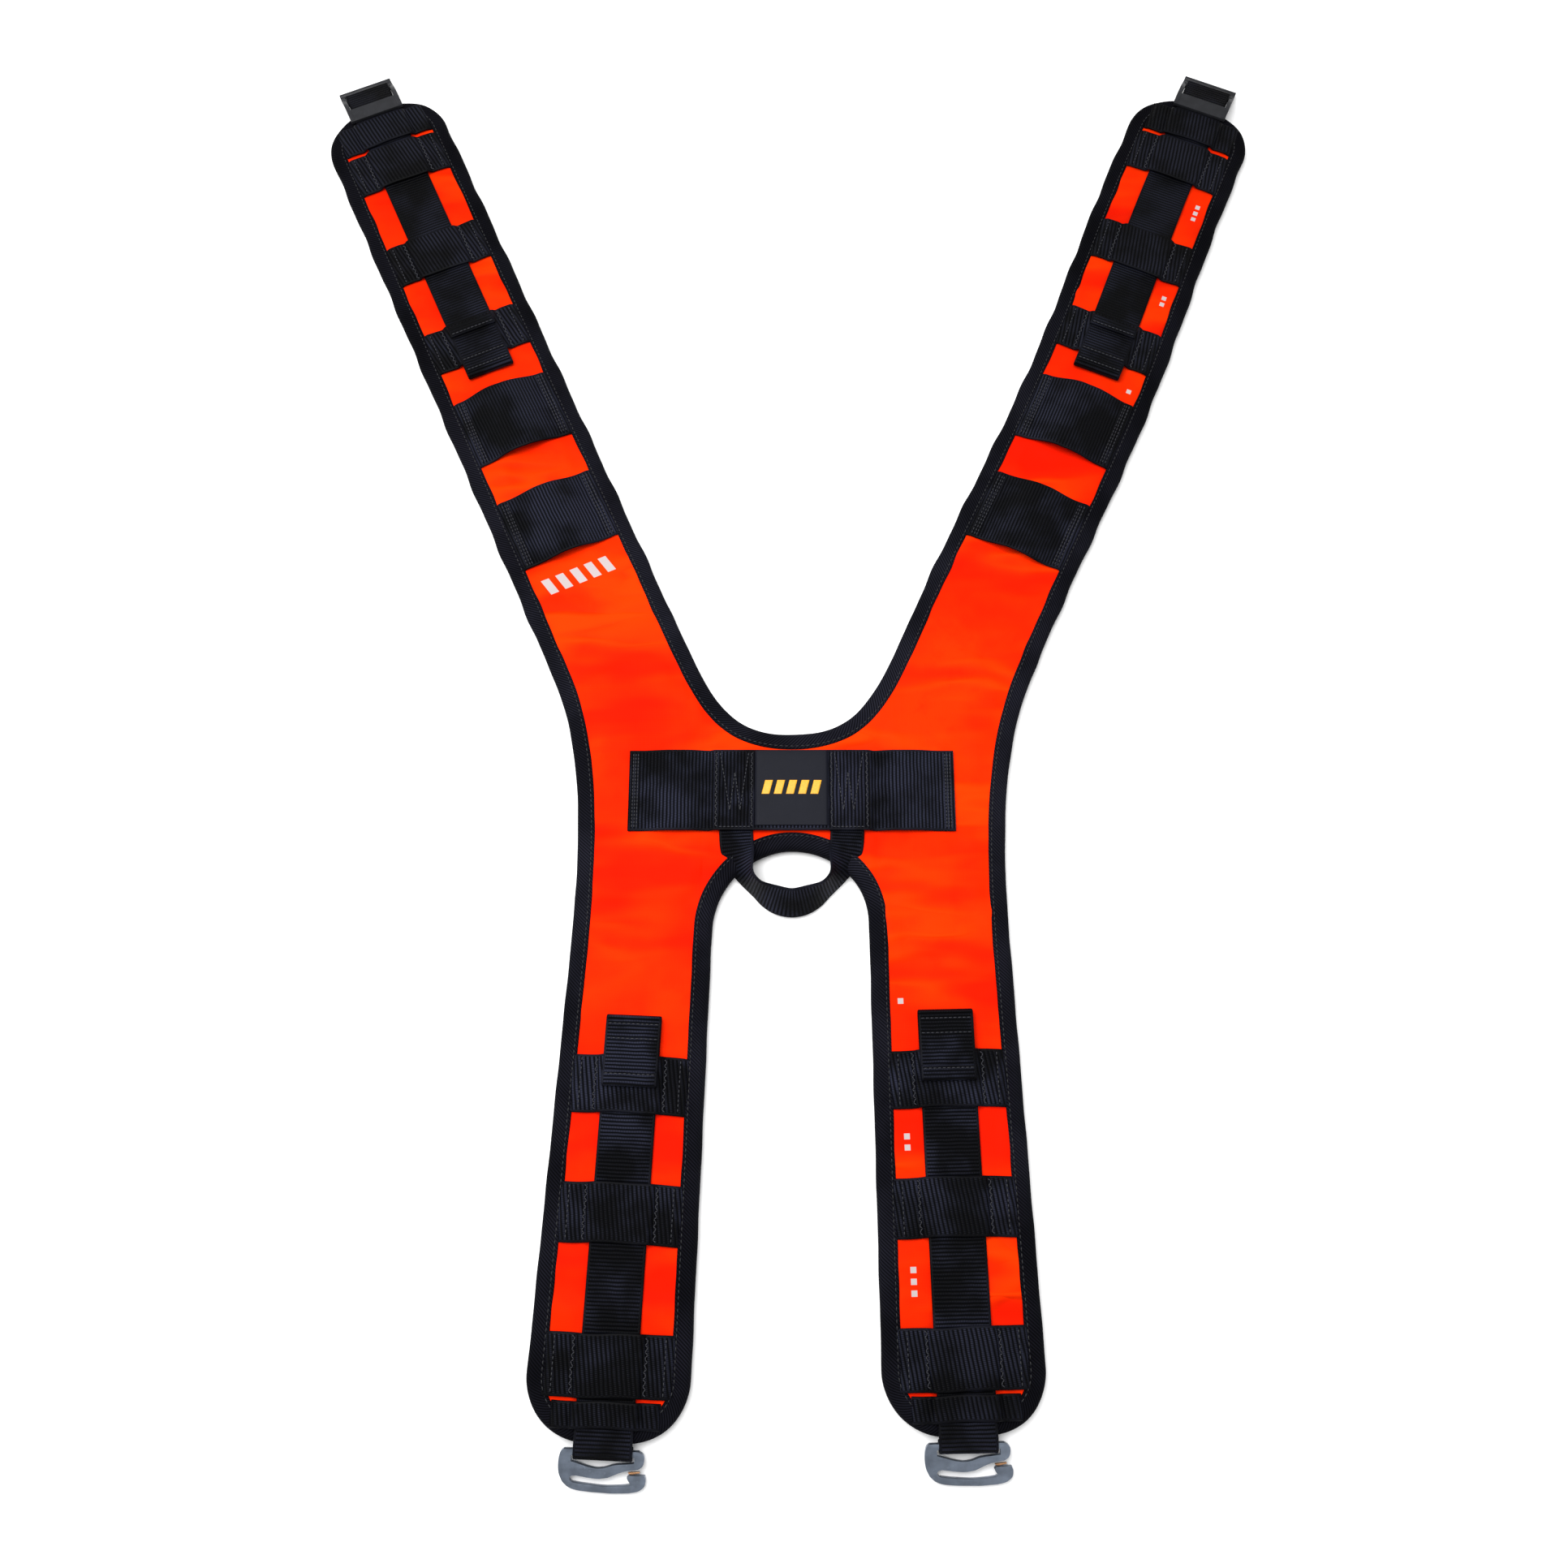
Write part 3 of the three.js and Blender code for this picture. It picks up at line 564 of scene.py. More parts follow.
def lining_finish(name, colour):
    """Spacer mesh: small round holes in staggered rows over a darker ground."""
    made = Finish(name)
    x, y = made.uv()
    pitch = 2.6
    row = made.math("FLOOR", made.math("DIVIDE", y, pitch * 0.866))
    step = made.math("MULTIPLY", made.math("MODULO", row, 2.0), pitch / 2)
    near_x = made.math("DIVIDE", made.math("ADD", x, step), pitch)
    near_x = made.math("SUBTRACT", made.math("FRACT", near_x), 0.5)
    near_y = made.math("SUBTRACT", made.math("FRACT", made.math("DIVIDE", y, pitch * 0.866)), 0.5)
    away = made.math("SQRT", made.math("ADD", made.math("MULTIPLY", near_x, near_x),
                                       made.math("MULTIPLY", near_y, near_y)))
    height = made.ramp(away, 0.2, 0.36)
    light = tuple(c * 1.5 + 0.01 for c in colour)
    dark = tuple(c * 0.3 for c in colour)
    made.set(base_color=made.mix(height, dark, light), roughness=0.85, sheen_weight=0.15)
    made.bump(height, 0.5)
    return made.material


def label_finish(name, colour):
    """Woven label: smooth satin with a very fine cross weave and a little cloudiness."""
    made = Finish(name)
    u, v = made.uv()
    weave = made.math("MULTIPLY", made.ribs(u, 0.42, 1.0), made.ribs(v, 0.55, 1.0))
    cloud = made.noise(40, 3)
    light = tuple(c * 1.7 + 0.003 for c in colour)
    dark = tuple(c * 0.7 for c in colour)
    made.set(base_color=made.mix(made.math("MULTIPLY", weave, cloud), dark, light))
    made.set(roughness=0.5, specular_ior_level=0.12)
    made.bump(weave, 0.05)
    return made.material


def thread_finish(name, colour):
    """Twisted thread: a very fine grain of lighter and darker fibres."""
    made = Finish(name)
    grain = made.noise(1500, 2)
    made.set(base_color=made.mix(grain, tuple(c * 0.6 for c in colour), tuple(c * 1.6 for c in colour)))
    made.set(roughness=0.45, specular_ior_level=0.35)
    made.bump(grain, 0.05)
    return made.material


def metal_finish(name, colour, metallic, roughness, grain=0.25):
    """Satin metal: fine brushing stretched along one way, faint blotches and light scratches."""
    made = Finish(name)
    stretch = made.node("Mapping")
    made.put(stretch.inputs["Vector"], made.object_point())
    stretch.inputs["Scale"].default_value = (60, 900, 900)
    brushed = made.noise(1.0, 3, stretch.outputs[0])
    blotch = made.noise(140, 3)
    scratch = made.ramp(made.noise(420, 4, roughness=0.7), 0.62, 0.7)
    dark = tuple(c * 0.8 for c in colour)
    light = tuple(min(1, c * 1.15) for c in colour)
    base = made.mix(made.ramp(blotch, 0.3, 0.7), dark, light)
    wear_and_sheen = tuple(min(1, c * 1.8 + 0.05) for c in colour)
    base = made.mix(made.math("MULTIPLY", scratch, grain), base, wear_and_sheen)
    made.set(base_color=base, metallic=metallic, specular_ior_level=0.5 if metallic else 0.22)
    made.set(roughness=made.ramp(brushed, 0.2, 0.8, roughness - 0.07, roughness + 0.1))
    made.bump(brushed, 0.02)
    return made.material


def finished(obj, material, body=None):
    """Gives obj its material and, with a body, makes it ride on that body."""
    obj.data.materials.clear()
    obj.data.materials.append(material)
    if body is not None:
        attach(obj, body)
    return obj


# ---------------------------------------------------------------- the pad
def arm_grid(size, inset, spacing):
    """An arm's sheet as a grid: rows along it from ROOT inside the fold to the tip, closer together
    round the tip, and columns spread evenly across the width left inside inset."""
    corner = size["length"] - size["tip_radius"]
    radius = size["tip_radius"] - inset
    straight = np.linspace(-ROOT, corner, int(round((corner + ROOT) / spacing)) + 1)
    turn = np.radians(np.linspace(0, 90, int(round(1.4 * radius / spacing)) + 1))[1:]
    along = np.concatenate((straight, corner + radius * np.sin(turn)))
    half = half_width(size, np.minimum(along, corner + radius - 1e-6), inset)
    share = np.linspace(1, -1, int(round(2 * UPPER["root_half"] / spacing)) + 1)
    x = half[:, None] * share[None]
    y = np.broadcast_to(along[:, None], x.shape)
    return np.stack((x, y, np.zeros_like(x)), axis=-1)


def bezier(start, start_pull, end, end_pull, count=60):
    """The cubic (1-t)^3 a + 3(1-t)^2 t b + 3(1-t) t^2 c + t^3 d, with b and c the pulled ends."""
    t = np.linspace(0, 1, count)[:, None]
    b, c = start + start_pull, end + end_pull
    return (1 - t) ** 3 * start + 3 * (1 - t) ** 2 * t * b + 3 * (1 - t) * t**2 * c + t**3 * end


def root_corner(arm, side, back):
    """The pad's edge beside an arm's root, at a distance back from its fold line."""
    return place(arm, (side * ARMS[arm]["root_half"], -back, 0.0))


# The neck's and the crotch's lowest or highest point: its y, and how hard the curve is pulled at
# the arms and there. The pull of a waist's curve at an upper and at a lower arm.
MIDDLES = {"neck": (NECK_Y, 52, 38), "crotch": (CROTCH_Y, 22, -26)}
WAIST_PULL = {"upper": 45, "lower": 55}


def joining_edge(kind):
    """The pad's edge between two arms' own pieces, anticlockwise: short straight lengths along each
    arm and, between them, one or two cubic curves that leave and meet the arms head on."""
    right = np.array((1.0, 0, 0))
    from_arm, to_arm = EDGE_ENDS[kind]

    def leave(arm, side):
        """The straight length beside an arm's root: its two ends."""
        return root_corner(arm, side, ROOT), root_corner(arm, side, ARMS[arm]["root_lead"])

    def back(arm, pull):
        """A pull towards the yoke, in line with an arm."""
        return -FRAMES[arm][2] * pull

    first, start = leave(from_arm, -1)
    last, end = leave(to_arm, 1)

    if kind in MIDDLES:
        height, root_pull, middle_pull = MIDDLES[kind]
        middle = np.array((CENTRE_X, height, 0.0))
        way = right * middle_pull
        curve = np.vstack((bezier(start, back(from_arm, root_pull), middle, way),
                           bezier(middle, -way, end, back(to_arm, root_pull))[1:]))
    else:
        curve = bezier(start, back(from_arm, WAIST_PULL[from_arm[:5]]),
                       end, back(to_arm, WAIST_PULL[to_arm[:5]]), 90)
    points = np.vstack((first, curve, last))
    keep = np.concatenate(([True], np.linalg.norm(np.diff(points, axis=0), axis=1) > 1e-6))
    return points[keep]


def arm_rim(arm):
    """The pad's edge round one arm, anticlockwise, in the arm's frame."""
    size = ARMS[arm]
    corner = size["length"] - size["tip_radius"]
    turn = np.radians(np.linspace(0, 90, 40))
    x = size["end_half"] - size["tip_radius"] + size["tip_radius"] * np.cos(turn)
    y = corner + size["tip_radius"] * np.sin(turn)
    side = np.stack((np.concatenate(([size["root_half"]] * 2, x)),
                     np.concatenate(([-ROOT, 0.0], y))), axis=1)
    points = np.vstack((side, side[::-1] * (-1, 1)))
    return np.column_stack((points, np.zeros(len(points))))


def rim_normals(path, start, end):
    """The way out of an anticlockwise edge: its tangent turned a quarter turn clockwise, with its
    first and last given."""
    tangent = np.gradient(path, axis=0)
    normal = np.stack((tangent[:, 1], -tangent[:, 0], np.zeros(len(path))), axis=1)
    normal /= np.linalg.norm(normal, axis=1)[:, None]
    normal[0], normal[-1] = start, end
    return normal


def inset_line(path, normal, distance):
    """The line that lies a distance in from an edge."""
    return path - normal * distance


def edge_normals(kind, path):
    """rim_normals of a free edge of the yoke, square to its two arms at its ends."""
    start, end = EDGE_ENDS[kind]
    return rim_normals(path, -FRAMES[start][1], FRAMES[end][1])


def seam_line(path, normal):
    """Where the binding's seam runs: in from an edge, and on top of the binding."""
    line = inset_line(path, normal, SEAM_INSET)
    line[:, 2] = SEAM_HEIGHT
    return line


def binding_section():
    """The binding's section as inset, height and distance walked: from its edge on the face, out
    with a slight swell, round the pad's side as a superellipse of power 2.4, back to its edge
    underneath, and the same way back 0.7 mm further in."""
    turn = np.radians(np.linspace(90, -90, 17))
    reach, tape, power = 5.2, 0.7, 2 / 2.4
    middle = PAD_HEIGHT / 2
    inset = reach * (1 - np.cos(turn) ** power)
    height = middle + (middle - 0.05) * np.sign(np.sin(turn)) * np.abs(np.sin(turn)) ** power
    top_inset = np.array((BINDING_WIDTH, BINDING_WIDTH - 0.15, BINDING_WIDTH - 0.8, 8.2, 6.8))
    top_height = PAD_HEIGHT + np.array((-0.45, 0.2, 0.5, 0.38, 0.2))
    under_inset = np.array((7.0, 8.8, BINDING_WIDTH))
    under_height = np.array((0.03, 0.02, 0.02))
    inset = np.concatenate((top_inset, inset, under_inset))
    height = np.concatenate((top_height, height, under_height))
    way = np.stack((np.gradient(inset), np.gradient(height)), axis=1)
    way /= np.linalg.norm(way, axis=1)[:, None]
    inner_inset = inset - way[:, 1] * tape
    inner_height = height + way[:, 0] * tape
    profile = path_length(np.stack((inset, height), axis=1))
    return (np.concatenate((inset, inner_inset[::-1])), np.concatenate((height, inner_height[::-1])),
            np.concatenate((profile, profile[::-1])))


def binding_strip(path, normal, wave):
    """The binding's section carried along an edge. Its two sides wander in and out by the wave
    size, as two sines of the distance walked, and not at all at the ends of the piece."""
    inset, height, profile = binding_section()
    walked = path_length(path)
    window = smoothstep(np.minimum(walked, walked[-1] - walked), 0, 18)
    outer = 0.75 * np.sin(walked / 7.6 + 1.0) + 0.3 * np.sin(walked / 3.9 + walked[-1])
    outer = wave * window * outer
    inner = wave * 0.8 * window * (0.6 * np.sin(walked / 7.1 + 2.2) + 0.3 * np.sin(walked / 3.3))
    share = inset / BINDING_WIDTH
    shift = outer[:, None] * (1 - share)[None] + inner[:, None] * share[None]
    points = path[:, None] - normal[:, None] * (inset[None] - shift)[..., None]
    swell = 1 + 0.012 * window * (1 + np.sin(walked / 5.3 + 0.5))
    points[..., 2] = height[None] * swell[:, None]
    uv = np.stack(np.broadcast_arrays(walked[:, None], profile[None]), axis=-1)
    faces = grid_faces(len(path), len(inset), closed=True).tolist()
    return points.reshape(-1, 3), faces, uv.reshape(-1, 2)


def yoke_grid(inset, spacing):
    """The yoke's sheet by transfinite interpolation: for a point (u, v) the blend of the top and
    bottom edges at u, plus that of the left and right edges at v, less that of the four corners.
    Its top and bottom take in the root lines of the arms, point for point as the arms have them."""
    def edge(kind):
        """A free edge of the sheet."""
        path = resample(joining_edge(kind), 1.0)
        return inset_line(path, edge_normals(kind, path), inset)

    def even(path, count):
        """The same line with that many even points."""
        walked = path_length(path)
        at = np.linspace(0, walked[-1], count)
        return np.stack([np.interp(at, walked, path[:, i]) for i in range(3)], axis=1)

    def root_line(arm):
        """The first row of an arm's own sheet."""
        return place(arm, arm_grid(ARMS[arm], inset, spacing)[0])

    across = 44
    top = np.vstack((root_line("upper_left")[::-1], even(edge("neck")[::-1], across)[1:-1],
                     root_line("upper_right")[::-1]))
    bottom = np.vstack((root_line("lower_left"), even(edge("crotch"), across)[1:-1],
                        root_line("lower_right")))
    rows = 58
    left = even(edge("waist_left")[::-1], rows)
    right = even(edge("waist_right"), rows)
    u = (np.arange(len(top)) / (len(top) - 1))[None, :, None]
    v = (np.arange(rows) / (rows - 1))[:, None, None]
    corners = ((1 - u) * (1 - v) * bottom[0] + u * (1 - v) * bottom[-1]
               + (1 - u) * v * top[0] + u * v * top[-1])
    return ((1 - v) * bottom[None] + v * top[None] + (1 - u) * left[:, None] + u * right[:, None]
            - corners)


def held_down(points):
    """Which points of the face have something over them that holds them down: the binding's edge,
    a band, a strap, the chest band or the label."""
    held = np.zeros(len(points), bool)
    margin = 1.0
    chest_x = np.abs(points[:, 0] - CENTRE_X)
    chest_y = np.abs(points[:, 1] - CHEST_Y)
    held |= (chest_x < CHEST_HALF - margin) & (chest_y < WIDE_HALF - margin)
    held |= (np.abs(chest_x - HAUL_LEG) < 9) & (points[:, 1] < CHEST_Y) & (points[:, 1] > CHEST_Y - 45)
    for arm, size in ARMS.items():
        x, y = local(arm, points)
        on_arm = (y > -ROOT) & (y < size["length"] + 5) & (np.abs(x) < 60)
        for middle in size["wide"]:
            held |= on_arm & (np.abs(y - middle) < WIDE_HALF - margin)
        for middle in size["narrow"]:
            held |= on_arm & (np.abs(y - middle) < NARROW_HALF - margin)
        held |= on_arm & (y > size["end"][0] - margin)
        held |= on_arm & (np.abs(x) < STRAP_HALF + 0.5) & (y > size["strap_fold"] - 1)
    return held


def settle_face(points, faces, held, slack, pressure, steps):
    """Cloth simulation of the face sheet: cut a little larger than its place, held where held says,
    and pushed up gently by the foam. Returns where the points come to rest."""
    scene = bpy.context.scene
    sheet = new_object("face_at_work", points, faces.tolist())
    group = sheet.vertex_groups.new(name="held")
    group.add(np.flatnonzero(held).tolist(), 1.0, "REPLACE")
    cloth = sheet.modifiers.new("Cloth", "CLOTH")
    settings = cloth.settings
    settings.quality = 5
    settings.mass = 0.2
    settings.tension_stiffness = settings.compression_stiffness = 12
    settings.shear_stiffness = 6
    settings.bending_stiffness = 0.6
    settings.air_damping = 3
    settings.vertex_group_mass = "held"
    settings.use_pressure = True
    settings.uniform_pressure_force = pressure
    settings.shrink_min = -slack
    settings.effector_weights.gravity = 0
    cloth.collision_settings.use_collision = False
    cloth.point_cache.frame_start = 1
    cloth.point_cache.frame_end = steps
    for step in range(1, steps + 1):
        scene.frame_set(step)
    seen = sheet.evaluated_get(bpy.context.evaluated_depsgraph_get())
    rested = np.empty(len(points) * 3, np.float32)
    seen.data.vertices.foreach_get("co", rested)
    rested = rested.reshape(-1, 3).astype(float) / MM
    mesh = sheet.data
    bpy.data.objects.remove(sheet)
    bpy.data.meshes.remove(mesh)
    scene.frame_set(1)
    return rested


def edge_distance(points):
    """Distance from each point to the pad's edge, found as the least over the edge's own points."""
    rims = [resample(place(arm, arm_rim(arm)), 3.0) for arm in ARMS]
    rims += [resample(joining_edge(kind), 3.0) for kind in EDGE_ENDS]
    edge = np.vstack(rims)[:, :2]
    return np.concatenate([np.sqrt(((part[:, None] - edge[None]) ** 2).sum(-1).min(1))
                           for part in np.array_split(points[:, :2], 40)])


def relax(height, faces, rounds):
    """Each point's height is averaged with its neighbours', over the sheet's edges."""
    pairs = np.vstack((faces[:, [0, 1]], faces[:, [1, 2]], faces[:, [2, 3]], faces[:, [3, 0]]))
    count = np.bincount(pairs.ravel(), minlength=len(height)).astype(float)
    for _ in range(rounds):
        total = np.bincount(pairs[:, 0], height[pairs[:, 1]], len(height))
        total += np.bincount(pairs[:, 1], height[pairs[:, 0]], len(height))
        height = 0.5 * height + 0.5 * total / count
    return height


def face_sheets(settings):
    """The whole face as one sheet, settled by simulation, then parted into yoke and arms again.
    The parts share their points along the root lines, so they stay joined."""
    grids = {"yoke": yoke_grid(TUCK, settings.face_spacing / MM)}
    for arm, size in ARMS.items():
        grids[arm] = place(arm, arm_grid(size, TUCK, settings.face_spacing / MM))
    flat = {name: grid.reshape(-1, 3) for name, grid in grids.items()}
    everything = np.vstack(list(flat.values()))
    _, first, place_of = np.unique(np.round(everything[:, :2], 2), axis=0, return_index=True,
                                   return_inverse=True)
    place_of = place_of.ravel()
    union = everything[first].copy()
    union[:, 2] = FACE_HEIGHT
    faces, start, sheets = [], 0, {}
    for name, grid in grids.items():
        own = grid_faces(*grid.shape[:2])
        index = place_of[start:start + len(flat[name])]
        sheets[name] = (index, own)
        faces.append(index[own])
        start += len(index)
    faces = np.vstack(faces)
    inside = edge_distance(union)
    held = held_down(union) | (inside < BINDING_WIDTH - 0.5)
    rested = settle_face(union, faces, held, settings.slack, settings.foam_push,
                         settings.settle_steps)
    lift = np.clip(rested[:, 2] - FACE_HEIGHT, -0.1, settings.most_lift / MM)
    lift = relax(np.where(held, 0, lift), faces, 2)
    union[:, 2] = FACE_HEIGHT + lift - FACE_DIP * (1 - smoothstep(inside, 5.5, 9))
    shift = np.clip(rested[:, :2] - union[:, :2], -0.8, 0.8)
    union[:, :2] += np.where(held[:, None], 0, shift)
    return union, sheets


def blend_zone(arm):
    """Two points on an arm's middle line at half the pad's height, ROOT inside and ROOT outside its
    fold line, in metres.
    """
    height = PAD_HEIGHT / 2
    ends = place(arm, ((0, -ROOT, height), (0, ROOT, height))) * MM
    return tuple(ends[0]), tuple(ends[1])


def size_marks(half, *rows):
    """Small printed squares beside the strap, in rows at the given places along an arm."""
    return [(24.5, y, half, half, 0.0) for row in rows for y in row]


PRINTS = {
    # Plain printed bars in an arm's frame: (x, y, half width, half height, slant).
    "upper_left": [(x, 45.0, 2.6, 5.5, -0.25) for x in (-21.0, -11.5, -2.0, 7.5, 17.0)],
    "upper_right": size_marks(1.5, (200.0,), (272.0, 277.0), (345.0, 350.0, 355.0)),
    "lower_right": size_marks(1.6, (36.0,), (111.0, 117.0), (181.0, 187.0, 193.0)),
}


# ---------------------------------------------------------------- stitches
def stitch_shape(length, width):
    """One stitch: five rings of five points whose radius rises and falls along its length, on a
    middle line that arches as 1 - (2x / length)^2."""
    along = np.array((-0.5, -0.34, 0.0, 0.34, 0.5)) * length
    radius = np.array((0.25, 0.8, 1.0, 0.8, 0.25)) * width / 2
    turn = np.radians(np.arange(5) * 72 + 18)
    ring = np.stack((np.zeros(5), np.cos(turn), np.sin(turn)), axis=1)
    points = ring[None] * radius[:, None, None]
    points[..., 0] += along[:, None]
    points[..., 2] += 0.12 * width * (1 - (2 * along / length)[:, None] ** 2)
    faces = grid_faces(5, 5, closed=True).tolist()
    faces += [list(range(5))[::-1], list(range(20, 25))]
    return points.reshape(-1, 3), faces


def stitch_object(name, centres, ways, ups, length=2.4, width=0.75):
    """One mesh of many stitches: the shape's x along each way, z up, y across both."""
    shape, faces = stitch_shape(length, width)
    ways = ways / np.linalg.norm(ways, axis=1)[:, None]
    side = np.cross(ups, ways)
    side /= np.linalg.norm(side, axis=1)[:, None]
    ups = np.cross(ways, side)
    turned = (shape[None, :, :1] * ways[:, None] + shape[None, :, 1:2] * side[:, None]
              + shape[None, :, 2:] * ups[:, None] + centres[:, None])
    count = len(shape)
    every = [[i + count * n for i in face] for n in range(len(centres)) for face in faces]
    return new_object(name, turned.reshape(-1, 3), every)


def stitch_line(path, up, pitch, lift=0.0):
    """Even stitches along a line: their centres, their ways and the way up. lift raises them."""
    line = resample(np.asarray(path, float), pitch)
    centres = (line[1:] + line[:-1]) / 2
    ways = np.diff(line, axis=0)
    ups = np.broadcast_to(np.asarray(up, float), centres.shape)
    return centres + ups * lift, ways, ups


def zigzag(start, end, reach, pitch):
    """A zigzag from start to end: corners pitch apart, reach to either side in turn, or just the
    straight line where reach is 0."""
    start, end = np.asarray(start, float), np.asarray(end, float)
    if not reach:
        return np.array((start, end))
    count = max(int(round(np.linalg.norm(end - start) / pitch)), 2) + 1
    t = np.linspace(0, 1, count)[:, None]
    way = (end - start) / np.linalg.norm(end - start)
    side = np.array((-way[1], way[0], 0.0))
    sign = np.where(np.arange(count) % 2, 1.0, -1.0)[:, None]
    return start + (end - start) * t + side * reach * sign


# ---------------------------------------------------------------- webbing paths
def band_end(size, along):
    """How far across a band reaches at a place along its arm: to the binding's edge."""
    return float(half_width(size, np.array(along))) - BINDING_WIDTH


def narrow_height(x, end):
    """Height of a narrow band's middle: over the strap in the middle, drawn down by the stitches
    beside it, easy again outside them, and tucked down under the binding at both ends."""
    reach = np.abs(x)
    over = WEB_STEP * (1 - smoothstep(reach, STRAP_HALF + 0.2, STRAP_HALF + 3.2))
    pulled = -0.3 * np.exp(-(((reach - 19.5) / 1.6) ** 2))
    tuck = -1.35 * smoothstep(reach, end - 2.2, end + 1.2)
    return WEB_MID + over + pulled + tuck


def wide_height(x, end):
    """Height of an accessory band's middle: an arch over its middle, flat where it is sewn."""
    reach = np.abs(x)
    arch = 4.8 * (1 - smoothstep(reach, 3, 26)) + 0.35
    tuck = -1.5 * smoothstep(reach, end - 2.0, end + 1.2)
    return WEB_MID - 0.35 + arch + tuck


def chest_height(x):
    """Height of the chest band's middle: one layer up over the haul loop's ends, a hump beside
    them, flat at its own ends, and a slight rise away from its middle."""
    reach = np.abs(x)
    return (WEB_MID + WEB_STEP * (1 - smoothstep(reach, 44.7, 49.7))
            + 1.9 * smoothstep(reach, 47, 62) * (1 - smoothstep(reach, 72, 90))
            + 0.25 * smoothstep(reach, 0, 30))


def label_height(x):
    """Height of the label's middle: crowned as 1 - (x / half)^2, and drawn down at its two sides."""
    half = LABEL_HALF[0]
    crown = 0.25 * (1 - (x / half) ** 2)
    return LABEL_UNDER + 0.3 + crown - 0.2 * smoothstep(np.abs(x), half - 1.75, half)


def cross_band(arm, name, along, half, heights):
    """A band across an arm, from under the binding on one side to under it on the other. Its middle
    wanders along the arm as two sines of the way across."""
    size = ARMS[arm]
    end = band_end(size, along)
    x = np.linspace(-(end + 1.4), end + 1.4, 75)
    y = along + 0.4 * np.sin(x / 11 + along) + 0.2 * np.sin(x / 4.7 + 2 * along)
    path = np.stack((x, y, heights(x, end)), axis=1)
    return build_strip(name, arm, path, (0, 1, 0), half, WEB_THICK, columns=11, crown=0.12)


def strap_points(size):
    """The strap's line in the arm's frame: half a turn under its folded end, the run along the
    face, an easy S down past the tip, and most of a turn round its bar."""
    fold = np.array((size["strap_fold"], WEB_MID + FOLD_RADIUS))
    turn = np.radians(np.linspace(90, 270, 13))
    first = fold + FOLD_RADIUS * np.stack((np.cos(turn), np.sin(turn)), axis=1)
    bar = np.array(size["bar"])
    start, stop = size["length"] - 1.0, bar[0] - 0.3
    run = np.linspace(fold[0], start, int((start - fold[0]) / 3))[1:-1]
    run = np.stack((run, np.full_like(run, WEB_MID)), axis=1)
    drop = np.linspace(start, stop, 8)[:-1]
    fall = smoothstep(drop, start, stop + 1.5)
    drop = np.stack((drop, WEB_MID + (bar[1] + size["loop"] - WEB_MID) * fall), axis=1)
    turn = np.radians(np.linspace(90, -155, 26))
    eye = bar + size["loop"] * np.stack((np.cos(turn), np.sin(turn)), axis=1)
    line = np.vstack((first, run, drop, eye))
    return np.column_stack((np.zeros(len(line)), line))


def tab_points(size):
    """The folded-back end in the arm's frame: flat from the fold, then a hem turned up and back."""
    start = size["strap_fold"]
    end = start - FOLD_RADIUS - WEB_THICK / 2 + TAB_LENGTH
    hem = (WEB_THICK + 0.15) / 2
    centre = np.array((end - hem - WEB_THICK / 2, TAB_MID + hem))
    flat = np.linspace(start, centre[0], 24)[:-1]
    flat = np.stack((flat, np.full_like(flat, TAB_MID)), axis=1)
    turn = np.radians(np.linspace(-90, 90, 13))
    bend = centre + hem * np.stack((np.cos(turn), np.sin(turn)), axis=1)
    back = np.linspace(centre[0], centre[0] - HEM_LENGTH, 6)[1:]
    back = np.stack((back, np.full_like(back, TAB_MID + 2 * hem)), axis=1)
    line = np.vstack((flat, bend, back))
    return np.column_stack((np.zeros(len(line)), line))


def haul_line():
    """The haul loop's middle line and way across: two legs out of the chest band that
    curve together, with the webbing turning onto its edge towards the furthest point."""
    root = CHEST_Y - WIDE_HALF
    reach = CHEST_Y - HAUL_REACH
    half = [(HAUL_LEG, root + 3.0, WEB_MID), (32.6, root - 2.2, WEB_MID), (31.9, root - 10.2, WEB_MID),
            (29.4, root - 20.2, WEB_MID + 0.5), (24.4, root - 30.4, WEB_MID + 0.9),
            (14.4, reach + 4.4, 9.9)]
    path = smooth_path(half + [(0.0, reach, 9.5)] + [(-x, y, z) for x, y, z in half[::-1]], 121)
    path[:, 0] += CENTRE_X
    tangent = np.gradient(path, axis=0)
    out = np.stack((-tangent[:, 1], tangent[:, 0], np.zeros(len(path))), axis=1)
    out /= np.linalg.norm(out, axis=1)[:, None]
    drop = root - path[:, 1]
    lean = np.radians(72 * smoothstep(drop, 5, 33) - 26 * smoothstep(drop, 34, root - reach))
    across = out * np.cos(lean)[:, None] - UP * np.sin(lean)[:, None]
    return path, across


# ---------------------------------------------------------------- settings
def colour_setting(title, words, value):
    """A colour that a user may change."""
    return bpy.props.FloatVectorProperty(name=title, description=words, subtype="COLOR", size=3,
                                         min=0, max=1, default=value)


def length_setting(title, words, value):
    """A length that a user may change, from millimetres."""
    return bpy.props.FloatProperty(name=title, description=words, default=value * MM, min=0,
                                   unit="LENGTH", precision=5)


